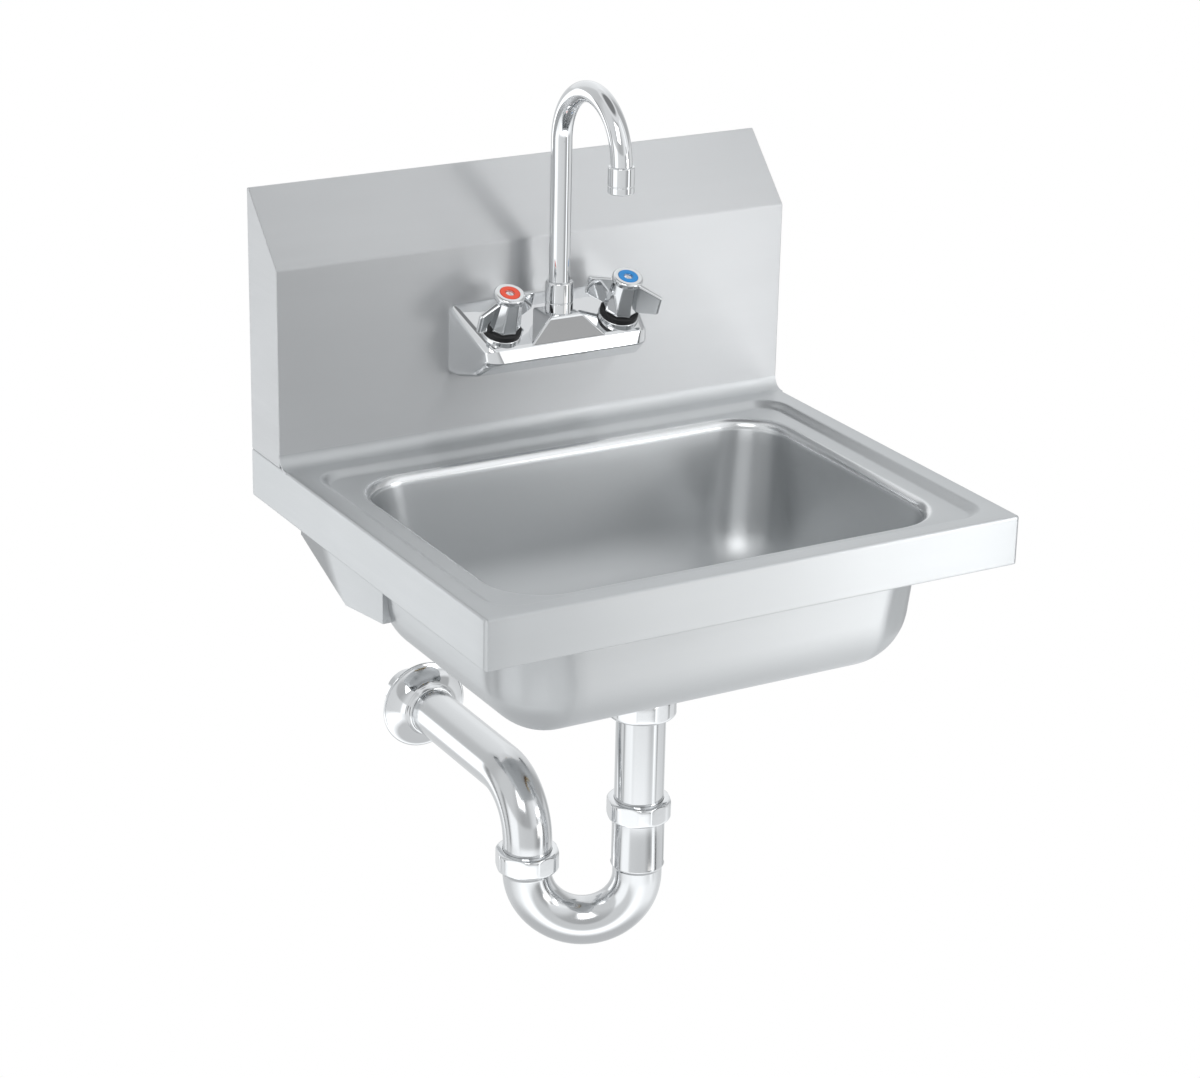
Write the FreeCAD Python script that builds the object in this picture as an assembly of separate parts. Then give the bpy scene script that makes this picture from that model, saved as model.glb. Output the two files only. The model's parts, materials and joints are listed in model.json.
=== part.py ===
import FreeCAD, Part
import math
import os
from FreeCAD import Vector

# Wall-hung stainless hand basin with a splash-mounted mixing faucet and a P-trap.
# X runs to the right seen from the front, Y runs towards the wall, Z runs up.
# The origin is on the wall plane, midway between the two screws of the hanging bracket.

os.makedirs("parts", exist_ok=True)

# Pressed sheet, mm
sheet = 1.2
bend_inside = 1.0
basin_width = 438.0
basin_depth = 381.0
apron_height = 38.1
apron_return = 9.5

# Pressed ledge round the bowl
ledge_side_border = 14.0
ledge_front_border = 12.0
ledge_back_border = 19.2
ledge_corner = 25.0
ledge_drop = 5.0
ledge_run = 6.0
ledge_soft = 1.4
ledge_soft_drop = 0.5

# Drawn bowl; its margins are measured to the basin's sides, its front and the splash
bowl_side_margin = 41.2
bowl_front_margin = 35.0
bowl_back_margin = 41.2
bowl_depth = 124.0
bowl_corner = 40.0
bowl_floor_corner = 10.0
bowl_draft = 6.0
bowl_foot_radius = 50.0
bowl_roll_under = 6.8

# Backsplash
splash_depth = 50.8
splash_front_height = 152.4
splash_point_height = 206.0
splash_cove = 10.0
splash_bend_inside = 2.5
splash_top_inside = 0.5
splash_return = 31.75
end_edge_share = 0.8
service_strip = 25.0

# Side gussets between the bowl and the wall
gusset_wall_foot = 77.0
gusset_bowl_foot = 107.0
gusset_front_foot = 98.5
gusset_knee = 80.0
gusset_lap = 12.0
gusset_bite = 0.6
gusset_flange = 15.0

# Hanging bracket
bracket_end = 25.4
bracket_sheet = 2.5
bracket_screw_height = 139.7
bracket_screw_spacing = 254.0
bracket_hole_radius = 4.0
bracket_foot = 18.0
bracket_lip = 18.0
bracket_play = 0.3
bracket_joggle = 2.5

# Basket drain
drain_hole_play = 0.8
recess_margin = 6.0
recess_depth = 2.2
recess_run = 2.0
flange_radius = 38.0
flange_thickness = 2.0
throat_radius = 25.5
throat_depth = 1.4
drain_radius = 23.8
drain_wall = 3.4
drain_length = 39.0
basket_play = 0.3
basket_rim = 1.2
basket_gap = 0.8
basket_depth = 16.0
basket_hole = 1.6
basket_ring_shares = (0.42, 0.76)
basket_ring_holes = (8, 14)
basket_post_radius = 2.2
basket_knob_radius = 5.0
basket_knob_height = 4.0
under_gasket = 3.0
under_gasket_radius = 36.0
friction_washer = 1.0
friction_washer_radius = 34.0
drain_nut_flats = 60.0
drain_nut_height = 9.0

# 1 1/2 inch tubular trap
tube_radius = 19.05
tube_wall = 0.9
tail_washer = 2.5
tail_flange = 1.5
tail_flange_margin = 1.0
tail_length = 101.6
tail_nut_wall = 2.2
tail_nut_height = 18.0
tail_nut_taper = 5.0
tail_nut_turn = 8.0
nut_lip = 3.0
slip_nut_wall = 1.5
slip_nut_corner = 1.7
slip_nut_height = 16.0
slip_nut_turn = 12.0
slip_washer = 4.0
slip_play = 0.25
thread_collar_wall = 2.95
tail_insertion = 20.3
inlet_leg = 57.0
socket_wall = 0.9
socket_taper = 4.0
socket_end_straight = 3.0
bend_radius = 42.3
trap_turn = 29.0
outlet_leg = 12.0
arm_seat_gap = 2.0
arm_rise = 69.2
arm_bend_radius = 44.0
arm_into_wall = 30.0
arm_mark = 1.5
arm_mark_depth = 0.3

# Wall escutcheon
cover_radius = 36.0
cover_depth = 18.0
cover_collar_gap = 0.75
cover_collar_length = 5.0
cover_sheet = 0.8
cover_rim = 1.5
cover_knee_share = 0.67

# Faucet body; its ends are measured past the inlets' centres, and setbacks from its front edge
inlet_height = 82.6
inlet_spacing = 101.6
body_reach = 50.0
body_back_end = 27.2
body_front_end = 17.7
body_corner = 9.0
body_top = 27.0
body_bottom = 29.0
nose_top = 2.0
nose_bottom = 10.5
nose_bevel = 2.0
lip_setback = 5.0
lip_drop = 2.5
belly_reach = 30.0
belly_drop = 24.0
hump_top = 19.0
hump_foot = 1.0
hump_collar_margin = 2.9
hump_inlet_gap = 18.8
hump_foot_setback = 2.5
hump_top_setback = 7.5
boss_margin = 0.5
boss_height = 1.6
pad_depth = 1.5
pad_margin = 4.0

# Threaded inlets
shank_radius = 10.4
shank_bore = 6.5
shank_seat = 12.0
shank_length = 52.8
shank_runout = 2.0
shank_runout_depth = 0.8
shank_runout_offset = 0.5
splash_hole_play = 0.7
shank_washer = 1.5
shank_washer_radius = 16.0
locknut_flats = 30.0
locknut_height = 8.0

# Valves and handles
handle_setback = 17.0
handle_tilt = 22.0
hot_rest = 200.0
cold_rest = -40.0
cartridge_radius = 9.0
cartridge_depth = 24.0
bonnet_flats = 17.0
bonnet_height = 5.5
stem_radius = 4.5
stem_play = 0.06
stem_depth = 14.0
stem_top_radius = 4.0
stem_top_gap = 2.0
base_ring_radius = 15.0
base_ring_gap = 2.5
base_ring_height = 4.4
handle_play = 0.3
hub_foot_radius = 13.8
hub_top_radius = 10.8
hub_sides = 8
hub_height = 26.0
cap_radius = 12.0
cap_height = 5.0
cap_edge = 1.0
hub_cavity_gap = 2.2
hub_cavity_height = 9.0
wing_reach = 29.5
wing_thickness = 4.6
wing_foot_reach = 15.0
wing_foot = 1.5
wing_tip_foot = 5.5
wing_tip_top = 20.5
wing_edge = 1.6
index_radius = 7.6
index_screw_gap = 0.2
index_depth = 0.8
index_proud = 0.3
handle_screw_radius = 2.0
handle_screw_head = 3.4
handle_screw_head_height = 1.8
handle_screw_length = 12.0

# Gooseneck spout
spout_setback = 19.0
spout_radius = 8.0
spout_wall = 1.0
spout_swing_radius = 44.45
riser_height = 133.4
outlet_drop = 3.0
plug_wall = 1.3
plug_play = 0.06
plug_depth = 16.0
plug_shoulder = 6.0
plug_groove = 1.1
plug_groove_height = 2.4
plug_groove_pitch = 6.0
ring_gap = 0.03
collar_wall = 1.3
collar_height = 24.0
collar_round = 2.0
collar_flat_cut = 0.8
collar_flat_height = 8.0
aerator_wall = 1.6
aerator_height = 20.0
aerator_edge = 1.0
aerator_play = 0.2
aerator_washer = 1.2
screen_height = 8.0
screen_slots = 3
screen_slot_width = 1.0

# Small allowance by which a cutting tool passes the face that it cuts
overrun = 2.0

# Largest distance at which an edge still counts as lying on a plane
tolerance = 0.02

# Sides of a common nut
nut_sides = 6

# Sizes and places worked out from the named sizes
deck_z = -bracket_screw_height
bracket_length = bracket_screw_spacing + 2 * bracket_end
half_width = basin_width / 2
ledge_z = deck_z - ledge_drop
bowl_floor_z = ledge_z - bowl_depth
splash_y = -splash_depth
bowl_length = basin_width - 2 * bowl_side_margin
bowl_front_y = -basin_depth + bowl_front_margin
bowl_back_y = splash_y - bowl_back_margin
bowl_width = bowl_back_y - bowl_front_y
bowl_y = bowl_front_y + bowl_width / 2
bowl_low_corner = bowl_foot_radius + bowl_floor_corner
bowl_roll = bowl_roll_under + sheet
recess_radius = flange_radius + recess_margin
drain_hole_radius = drain_radius + drain_hole_play
drain_bore = drain_radius - drain_wall
basket_radius = drain_bore - basket_gap
return_z = deck_z + splash_point_height - splash_return
seat_z = bowl_floor_z - recess_depth
drain_end_z = seat_z - drain_length
tail_top_z = drain_end_z - tail_washer
tail_flange_radius = drain_radius - tail_flange_margin
tail_nut_flats = 2 * (drain_radius + tail_nut_wall)
thread_collar_radius = tube_radius + thread_collar_wall
slip_nut_flats = 2 * (thread_collar_radius + slip_nut_wall)
slip_nut_round = slip_nut_flats / 2 + slip_nut_corner
arm_insertion = outlet_leg - arm_seat_gap
cover_collar_radius = tube_radius + cover_collar_gap + cover_sheet
tail_bottom_z = tail_top_z - tail_length
inlet_top_z = tail_bottom_z + tail_insertion
bend_z = inlet_top_z - inlet_leg
turn = math.radians(trap_turn)
outlet_x = -2 * bend_radius * math.cos(turn)
outlet_y = bowl_y + 2 * bend_radius * math.sin(turn)
outlet_top_z = bend_z + outlet_leg
arm_z = bend_z + arm_rise
tube_bore = tube_radius - tube_wall
socket_bore = tube_radius + slip_play
socket_radius = socket_bore + socket_wall
inlet_z = deck_z + inlet_height
splash_hole_radius = shank_radius + splash_hole_play
body_back_half = inlet_spacing / 2 + body_back_end
body_front_half = inlet_spacing / 2 + body_front_end
handle_reach = body_reach - handle_setback
spout_reach = body_reach - spout_setback
plug_radius = spout_radius + plug_wall
collar_radius = plug_radius + collar_wall
collar_flats = 2 * (collar_radius - collar_flat_cut)
aerator_bore = spout_radius + aerator_play
aerator_radius = aerator_bore + aerator_wall
hump_top_half = collar_radius + hump_collar_margin
hump_foot_half = inlet_spacing / 2 - hump_inlet_gap
hump_top_reach = body_reach - hump_top_setback
hump_foot_reach = body_reach - hump_foot_setback
boss_radius = base_ring_radius + boss_margin
base_ring_bore = bonnet_flats / 2 + base_ring_gap
hub_cavity_radius = bonnet_flats / 2 + hub_cavity_gap
stem_top = hub_height - stem_top_gap
index_bore = handle_screw_head + index_screw_gap
body_slope = (body_top - nose_top) / (body_reach - nose_bevel)
hump_z = inlet_z + hump_top
spout_y = splash_y - spout_reach
arch_z = hump_z + riser_height
outlet_z = arch_z - outlet_drop

up = Vector(0, 0, 1)
down = Vector(0, 0, -1)
to_wall = Vector(0, 1, 0)
to_front = Vector(0, -1, 0)
to_right = Vector(1, 0, 0)


def block(x0, x1, y0, y1, z0, z1):
    return Part.makeBox(x1 - x0, y1 - y0, z1 - z0, Vector(x0, y0, z0))


def rod(radius, base, direction, length):
    return Part.makeCylinder(radius, length, base, direction)


def pipe(outer, inner, base, direction, length):
    return rod(outer, base, direction, length).cut(rod(inner, base, direction, length))


def prism(points, direction):
    face = Part.Face(Part.makePolygon(points + points[:1]))
    return face.extrude(direction)


def turned(profile, base, direction):
    # A closed profile of (radius, height) pairs turned about an axis through base.
    side = to_right if abs(direction.dot(to_right)) < abs(direction.dot(up)) else up
    across = direction.cross(side).normalize()
    points = [base + across * r + direction * h for r, h in profile]
    face = Part.Face(Part.makePolygon(points + points[:1]))
    return face.revolve(base, direction, 360)


def regular_prism(flats, sides, base, direction, length, first=0.0):
    corner = flats / 2 / math.cos(math.pi / sides)
    side = to_right if abs(direction.dot(to_right)) < abs(direction.dot(up)) else up
    across = direction.cross(side).normalize()
    other = direction.cross(across)
    points = []
    for i in range(sides):
        angle = math.radians(first) + 2 * math.pi * i / sides
        points.append(base + across * (corner * math.cos(angle)) + other * (corner * math.sin(angle)))
    return prism(points, direction * length)


def rounded_wire(half_x, y0, y1, radius, z):
    # Rectangle with round corners, lying flat at height z.
    x = half_x
    a = radius * (1 - math.cos(math.pi / 4))
    corners = [(x, y0, 1, -1), (x, y1, 1, 1), (-x, y1, -1, 1), (-x, y0, -1, -1)]
    starts = [Vector(x - radius, y0, z), Vector(x, y1 - radius, z),
              Vector(-x + radius, y1, z), Vector(-x, y0 + radius, z)]
    ends = [Vector(x, y0 + radius, z), Vector(x - radius, y1, z),
            Vector(-x, y1 - radius, z), Vector(-x + radius, y0, z)]
    edges = []
    for i, (cx, cy, sx, sy) in enumerate(corners):
        middle = Vector(cx - sx * a, cy - sy * a, z)
        edges.append(Part.Arc(starts[i], middle, ends[i]).toShape())
        edges.append(Part.makeLine(ends[i], starts[(i + 1) % 4]))
    return Part.Wire(edges)


def rounded_edges(shape, radius, wanted):
    edges = [e for e in shape.Edges if wanted(e)]
    return shape.makeFillet(radius, edges)


def level(edge, z):
    return all(abs(v.Point.z - z) < tolerance for v in edge.Vertexes)


def upright(edge):
    a, b = edge.Vertexes[0].Point, edge.Vertexes[-1].Point
    return abs(a.x - b.x) < tolerance and abs(a.y - b.y) < tolerance and abs(a.z - b.z) > tolerance


def save(name, shape):
    shape = shape.removeSplitter()
    solids = shape.Solids
    result = solids[0] if len(solids) == 1 else Part.makeCompound(solids)
    result.exportStep("parts/" + name + ".step")
    print(name, len(solids), round(result.Volume), result.isValid())


# Basin: deck, ledge, aprons and drawn bowl in one sheet

def deck_block(inset, z0, z1):
    x = half_width - inset
    return block(-x, x, -basin_depth + inset, 0, z0, z1)


def apron_shell():
    outside = bend_inside + sheet
    outer = deck_block(0, deck_z - apron_height, deck_z)
    outer = rounded_edges(outer, outside, lambda e: upright(e) and e.CenterOfMass.y < splash_y)
    outer = rounded_edges(outer, outside, lambda e: level(e, deck_z) and e.CenterOfMass.y < -sheet)
    hollow = deck_block(sheet, deck_z - apron_height + sheet, deck_z - sheet)
    hollow = hollow.fuse(block(-half_width + sheet, half_width - sheet, -sheet, overrun,
                               deck_z - apron_height + sheet, deck_z - sheet)).removeSplitter()
    hollow = rounded_edges(hollow, bend_inside, lambda e: upright(e) and e.CenterOfMass.y < splash_y)
    way_in = sheet + apron_return
    mouth = block(-half_width + way_in, half_width - way_in, -basin_depth + way_in, overrun,
                  deck_z - apron_height - overrun, deck_z - sheet - overrun)
    return outer.cut(hollow).cut(mouth)


def ledge_form(grow):
    # Stack of round-cornered sections that steps down softly from the deck to the ledge.
    steps = [(0, 0), (ledge_soft, ledge_soft_drop),
             (ledge_run - ledge_soft, ledge_drop - ledge_soft_drop), (ledge_run, ledge_drop)]
    wires = []
    for run, drop in steps:
        inset = run - grow
        wires.append(rounded_wire(half_width - ledge_side_border - inset,
                                  -basin_depth + ledge_front_border + inset,
                                  splash_y - ledge_back_border - inset,
                                  ledge_corner - inset, deck_z - drop - grow))
    form = Part.makeLoft(wires, True, True)
    if grow:
        return form
    top = Part.Face(wires[0]).extrude(up * overrun)
    return form.fuse(top)


def bowl_form(grow):
    # Drafted round-cornered bowl, larger all round by grow.
    top_z = ledge_z - grow
    floor_z = bowl_floor_z - grow
    wires = []
    for z, draft, corner in [(top_z, 0, bowl_corner), (floor_z, bowl_draft, bowl_low_corner)]:
        inset = draft - grow
        wires.append(rounded_wire(bowl_length / 2 - inset, bowl_front_y + inset,
                                  bowl_back_y - inset, corner - inset, z))
    form = Part.makeLoft(wires, True, True)
    return rounded_edges(form, bowl_foot_radius + grow, lambda e: level(e, floor_z))


def recess_form(grow):
    low_z = seat_z - grow
    high_z = bowl_floor_z - grow
    low = recess_radius - recess_run + grow
    profile = [(0, low_z), (low, low_z), (recess_radius + grow, high_z), (0, high_z)]
    return turned(profile, Vector(0, bowl_y, 0), up)


def pressing(grow, roll):
    # Ledge, bowl and drain recess together, with the roll where the ledge turns into the bowl.
    form = ledge_form(grow).fuse(bowl_form(grow)).removeSplitter()
    reach_x = bowl_length / 2 + grow + overrun
    reach_y = bowl_width / 2 + grow + overrun

    def rim(e):
        c = e.BoundBox
        inside = max(abs(c.XMax), abs(c.XMin)) < reach_x and abs(c.Center.y - bowl_y) < reach_y
        return level(e, ledge_z - grow) and inside
    form = rounded_edges(form, roll, rim)
    return form.fuse(recess_form(grow)).removeSplitter()


def cove_strip():
    # Quarter bend that turns the deck up into the splash.
    y = splash_y - splash_cove
    z = deck_z + splash_cove
    ring = rod(splash_cove + sheet, Vector(-half_width, y, z), to_right, basin_width)
    ring = ring.cut(rod(splash_cove, Vector(-half_width, y, z), to_right, basin_width))
    quarter = block(-half_width, half_width, y, splash_y + sheet, deck_z - sheet, z)
    return ring.common(quarter)


def splash_outline(inset, z0):
    # Side view of the splash as (y, z) points, with every face moved inwards by inset.
    angle = math.atan2(splash_point_height - splash_front_height, splash_depth)
    rise = math.tan(angle)
    lower = inset / math.cos(angle)
    y_front = splash_y + inset
    y_wall = -inset
    z_bend = deck_z + splash_front_height + inset * rise - lower
    z_top = deck_z + splash_front_height + (splash_depth - inset) * rise - lower
    return [(y_front, z0), (y_front, z_bend), (y_wall, z_top), (y_wall, z0)]


def splash_block(inset, z0, x0, x1):
    # Solid of the splash's side view with its two bends rounded.
    points = [Vector(x0, y, z) for y, z in splash_outline(inset, z0)]
    body = prism(points, to_right * (x1 - x0))
    z_bend, z_top = points[1].z, points[2].z
    body = rounded_edges(body, splash_bend_inside + sheet - inset, lambda e: level(e, z_bend))
    return rounded_edges(body, splash_top_inside + sheet - inset, lambda e: level(e, z_top))


def end_panel(side):
    x0 = half_width - sheet if side > 0 else -half_width
    panel = splash_block(0, deck_z, x0, x0 + sheet)
    face_x = half_width * side

    def rim(e):
        box = e.BoundBox
        return (abs(box.XMin - face_x) < tolerance and abs(box.XMax - face_x) < tolerance
                and box.Center.y < -sheet and box.Center.z > deck_z + sheet)
    return rounded_edges(panel, sheet * end_edge_share, rim)


def basin(ends):
    body = apron_shell()
    cove_y = splash_y - splash_cove
    notch = block(-half_width + service_strip, half_width - service_strip, splash_y + sheet, overrun,
                  deck_z - apron_height - overrun, deck_z + overrun)
    strip = block(-half_width + sheet + bend_inside, half_width - sheet - bend_inside, cove_y,
                  splash_y + sheet, deck_z - sheet, deck_z)
    body = body.cut(notch).cut(strip)
    body = body.fuse([cove_strip(), pressing(sheet, bowl_roll_under)])
    body = body.cut(pressing(0, bowl_roll))
    body = body.cut(rod(drain_hole_radius, Vector(0, bowl_y, seat_z + overrun), down, sheet + overrun * 2))
    for end in ends:
        body = body.cut(end)
    return body


def backsplash():
    x0, x1 = -half_width + sheet, half_width - sheet
    foot_z = deck_z + splash_cove
    outer = splash_block(0, foot_z, x0, x1)
    hollow = splash_block(sheet, foot_z - overrun, x0 - overrun, x1 + overrun)
    open_back = block(x0 - overrun, x1 + overrun, -sheet - overrun, overrun,
                      foot_z - overrun, return_z)
    skin = outer.cut(hollow).cut(open_back)
    for x in (-inlet_spacing / 2, inlet_spacing / 2):
        skin = skin.cut(rod(splash_hole_radius, Vector(x, splash_y - overrun, inlet_z), to_wall,
                            sheet + overrun * 2))
    return skin


def side_gusset(side):
    # Flat plate beside the bowl, turned in along the wall and at the front, where it meets the bowl.
    inner = bowl_length / 2 + sheet - gusset_bite
    x0 = inner if side > 0 else -inner - sheet
    top_z = ledge_z - bowl_roll
    front_y = bowl_back_y - bowl_corner - gusset_lap
    outline = [(0, top_z), (0, deck_z - gusset_wall_foot), (-gusset_knee, deck_z - gusset_bowl_foot),
               (front_y, deck_z - gusset_front_foot), (front_y, top_z)]
    plate = prism([Vector(x0, y, z) for y, z in outline], to_right * sheet)
    flange_x0 = inner - gusset_flange if side > 0 else -inner
    flange = block(flange_x0, flange_x0 + gusset_flange, -sheet, 0, deck_z - gusset_wall_foot, top_z)
    lap = block(flange_x0, flange_x0 + gusset_flange, front_y, front_y + sheet,
                deck_z - gusset_front_foot, top_z)
    return plate.fuse(lap).cut(bowl_form(sheet)).fuse(flange)


def wall_bracket():
    # Flat plate with a joggled lip: the splash's wall return drops in behind the lip.
    half = bracket_length / 2
    lip_y = -sheet - bracket_play
    top = return_z + bracket_lip
    outline = [(0, -bracket_foot), (0, return_z), (lip_y, return_z), (lip_y, top),
               (lip_y - bracket_sheet, top), (lip_y - bracket_sheet, return_z),
               (-bracket_sheet, return_z - bracket_joggle), (-bracket_sheet, -bracket_foot)]
    plate = prism([Vector(-half, y, z) for y, z in outline], to_right * bracket_length)
    for x in (-bracket_screw_spacing / 2, bracket_screw_spacing / 2):
        hole = rod(bracket_hole_radius, Vector(x, overrun, 0), to_front, bracket_sheet + overrun * 2)
        plate = plate.cut(hole)
    return plate


# Drain

def drain_body():
    # Flange in the recess, seat for the basket, threaded tube through the bowl.
    profile = [(throat_radius, flange_thickness), (flange_radius - flange_thickness, flange_thickness),
               (flange_radius, 0), (drain_radius, 0), (drain_radius, -drain_length),
               (drain_bore, -drain_length), (drain_bore, flange_thickness - throat_depth),
               (throat_radius, flange_thickness - throat_depth)]
    return turned(profile, Vector(0, bowl_y, seat_z), up)


def strainer_basket():
    # Perforated cup that hangs by its rim and lifts out by the knob.
    rim_z = flange_thickness - throat_depth
    wall = basket_rim
    rim = throat_radius - basket_play
    profile = [(basket_radius - wall, rim_z + basket_rim), (rim, rim_z + basket_rim),
               (rim, rim_z), (basket_radius, rim_z),
               (basket_radius, rim_z - basket_depth), (0, rim_z - basket_depth),
               (0, rim_z - basket_depth + wall), (basket_radius - wall, rim_z - basket_depth + wall)]
    base = Vector(0, bowl_y, seat_z)
    cup = turned(profile, base, up)
    floor = base + up * (rim_z - basket_depth + wall)
    post = rod(basket_post_radius, floor, up, basket_depth)
    knob = rod(basket_knob_radius, floor + up * basket_depth, up, basket_knob_height)
    knob = rounded_edges(knob, basket_rim, lambda e: len(e.Vertexes) == 1)
    cup = cup.fuse([post, knob])
    holes = []
    for share, count in zip(basket_ring_shares, basket_ring_holes):
        radius = (basket_radius - wall) * share
        for i in range(count):
            angle = 2 * math.pi * i / count
            place = Vector(radius * math.cos(angle), radius * math.sin(angle), -wall - overrun)
            holes.append(rod(basket_hole, floor + place, up, wall + overrun * 2))
    return cup.cut(holes)


def ring(outer, inner, z_top, height, x=0.0, y=bowl_y):
    return pipe(outer, inner, Vector(x, y, z_top), down, height)


def drain_locknut(z_top):
    nut = regular_prism(drain_nut_flats, nut_sides, Vector(0, bowl_y, z_top), down, drain_nut_height)
    return nut.cut(rod(drain_radius, Vector(0, bowl_y, z_top), down, drain_nut_height))


# Trap

def capped_nut(flats, corner, x, y, top_z, height, collar):
    # Slip nut: hexagon with rounded corners, a threaded skirt and a lip at the top.
    base = Vector(x, y, top_z)
    bevel = nut_lip / 2
    body = regular_prism(flats, nut_sides, base, down, height, slip_nut_turn)
    limit = turned([(0, 0), (corner - bevel, 0), (corner, -bevel), (corner, bevel - height),
                    (corner - bevel, -height), (0, -height)], base, up)
    body = body.common(limit)
    body = body.cut(rod(tube_radius + slip_play, base, down, height))
    return body.cut(rod(collar, base + down * nut_lip, down, height))


def tailpiece():
    base = Vector(0, bowl_y, tail_top_z)
    profile = [(tube_bore, 0), (tail_flange_radius, 0), (tail_flange_radius, -tail_flange),
               (tube_radius, -tail_flange), (tube_radius, -tail_length), (tube_bore, -tail_length)]
    return turned(profile, base, up)


def tailpiece_nut():
    top = tail_top_z - tail_flange - nut_lip + tail_nut_height
    base = Vector(0, bowl_y, top)
    body = regular_prism(tail_nut_flats, nut_sides, base, down, tail_nut_height, tail_nut_turn)
    corner = tail_nut_flats / 2 + nut_lip / 2
    limit = turned([(0, 0), (corner, 0), (corner, tail_nut_taper - tail_nut_height),
                    (corner - tail_nut_taper, -tail_nut_height), (0, -tail_nut_height)], base, up)
    body = body.common(limit).cut(rod(tube_radius + slip_play, base, down, tail_nut_height))
    return body.cut(rod(drain_radius, base, down, tail_nut_height - nut_lip))


def j_bend():
    # Enlarged inlet leg, half-round bend and short outlet bell, as one bent tube.
    base = Vector(0, bowl_y, inlet_top_z)
    socket_end = -inlet_leg + socket_end_straight
    taper_top = socket_end + socket_taper
    skirt = slip_nut_height - nut_lip - slip_washer
    inlet = turned([(socket_bore, 0), (thread_collar_radius, 0), (thread_collar_radius, -skirt),
                    (socket_radius, -skirt), (socket_radius, taper_top), (tube_radius, socket_end),
                    (tube_radius, -inlet_leg), (tube_bore, -inlet_leg), (tube_bore, socket_end),
                    (socket_bore, taper_top)], base, up)
    centre = Vector(outlet_x / 2, (bowl_y + outlet_y) / 2, bend_z)
    start = Vector(0, bowl_y, bend_z)
    axis = up.cross(Vector(math.cos(turn), -math.sin(turn), 0))
    outer = Part.Face(Part.Wire(Part.makeCircle(tube_radius, start, up)))
    inner = Part.Face(Part.Wire(Part.makeCircle(tube_bore, start, up)))
    bend = outer.cut(inner).revolve(centre, axis, 180)
    if bend.BoundBox.ZMin > bend_z - bend_radius:
        bend = outer.cut(inner).revolve(centre, axis, -180)
    foot = Vector(outlet_x, outlet_y, bend_z)
    seat = outlet_leg - arm_insertion
    outlet = turned([(tube_bore, 0), (tube_radius, 0), (thread_collar_radius, seat),
                     (thread_collar_radius, outlet_leg), (socket_bore, outlet_leg),
                     (socket_bore, seat), (tube_bore, seat)], foot, up)
    return inlet.fuse([bend, outlet])


def trap_arm():
    # Riser, elbow and run to the wall; a rolled mark shows how deep the tube sits in the wall fitting.
    base = Vector(outlet_x, outlet_y, outlet_top_z - arm_insertion)
    leg = arm_z - arm_bend_radius - base.z
    riser = pipe(tube_radius, tube_bore, base, up, leg)
    top = base + up * leg
    outer = Part.Face(Part.Wire(Part.makeCircle(tube_radius, top, up)))
    inner = Part.Face(Part.Wire(Part.makeCircle(tube_bore, top, up)))
    elbow = outer.cut(inner).revolve(top + to_wall * arm_bend_radius, to_right, -90)
    start = Vector(outlet_x, outlet_y + arm_bend_radius, arm_z)
    run = pipe(tube_radius, tube_bore, start, to_wall, arm_into_wall - start.y)
    mark = pipe(tube_radius + overrun, tube_radius - arm_mark_depth, Vector(outlet_x, -arm_mark, arm_z),
                to_wall, arm_mark)
    return riser.fuse([elbow, run]).cut(mark)


def wall_escutcheon():
    # Spun bell: flat rim on the wall, hollow curve, short collar round the pipe.
    bell = cover_depth - cover_collar_length
    mid_r = cover_collar_radius + (cover_radius - cover_collar_radius) / 2
    knee = bell * cover_knee_share
    outer = [(cover_radius, 0), (cover_radius, cover_rim), (mid_r, knee),
             (cover_collar_radius + cover_sheet, bell), (cover_collar_radius, bell + cover_sheet),
             (cover_collar_radius, cover_depth)]
    inner = [(tube_radius, cover_depth), (tube_radius, bell - cover_sheet),
             (mid_r - cover_sheet, knee - cover_sheet),
             (cover_radius - cover_sheet, cover_rim - cover_sheet), (cover_radius - cover_sheet, 0)]
    return turned(outer + inner, Vector(outlet_x, 0, arm_z), to_front)


# Faucet

def valve_base(side):
    # Point where a handle's axis meets the sloped top of the faucet body.
    z = inlet_z + body_top - handle_reach * body_slope
    return Vector(side * inlet_spacing / 2, splash_y - handle_reach, z)


def valve_axis():
    tilt = math.radians(handle_tilt)
    return Vector(0, -math.sin(tilt), math.cos(tilt))


def faucet_body():
    nose = body_reach - nose_bevel
    outline = [(0, body_top), (nose, nose_top), (body_reach, nose_top - nose_bevel),
               (body_reach, -nose_bottom), (body_reach - lip_setback, -nose_bottom - lip_drop),
               (belly_reach, -belly_drop), (body_corner, -body_bottom), (0, -body_bottom)]
    side = prism([Vector(-body_back_half, splash_y - u, inlet_z + v) for u, v in outline],
                 to_right * (2 * body_back_half))
    bottom = inlet_z - body_bottom - overrun
    plan = [(-body_back_half, 0), (body_back_half, 0),
            (body_front_half, body_reach), (-body_front_half, body_reach)]
    height = body_bottom + body_top + overrun * 2
    block_plan = prism([Vector(x, splash_y - u, bottom) for x, u in plan], up * height)
    front_y = splash_y - body_reach
    block_plan = rounded_edges(block_plan, body_corner,
                               lambda e: upright(e) and e.CenterOfMass.y < front_y + overrun)
    body = side.common(block_plan)
    hump = Part.makeLoft([hump_wire(hump_foot_half, hump_foot_reach, hump_foot),
                          hump_wire(hump_top_half, hump_top_reach, hump_top)], True, True)
    body = body.fuse(hump)
    axis = valve_axis()
    for s in (-1, 1):
        base = valve_base(s)
        body = body.fuse(rod(boss_radius, base - axis * boss_radius, axis, boss_radius + boss_height))
    for s in (-1, 1):
        base = valve_base(s)
        body = body.cut(rod(cartridge_radius, base + axis * boss_height, -axis, cartridge_depth))
        inlet = Vector(s * inlet_spacing / 2, splash_y, inlet_z)
        body = body.cut(rod(shank_radius, inlet, to_front, shank_seat))
    body = body.cut(rod(plug_radius + plug_play, Vector(0, spout_y, hump_z), down, plug_depth + sheet))
    return body.cut(pad_form())


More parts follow.
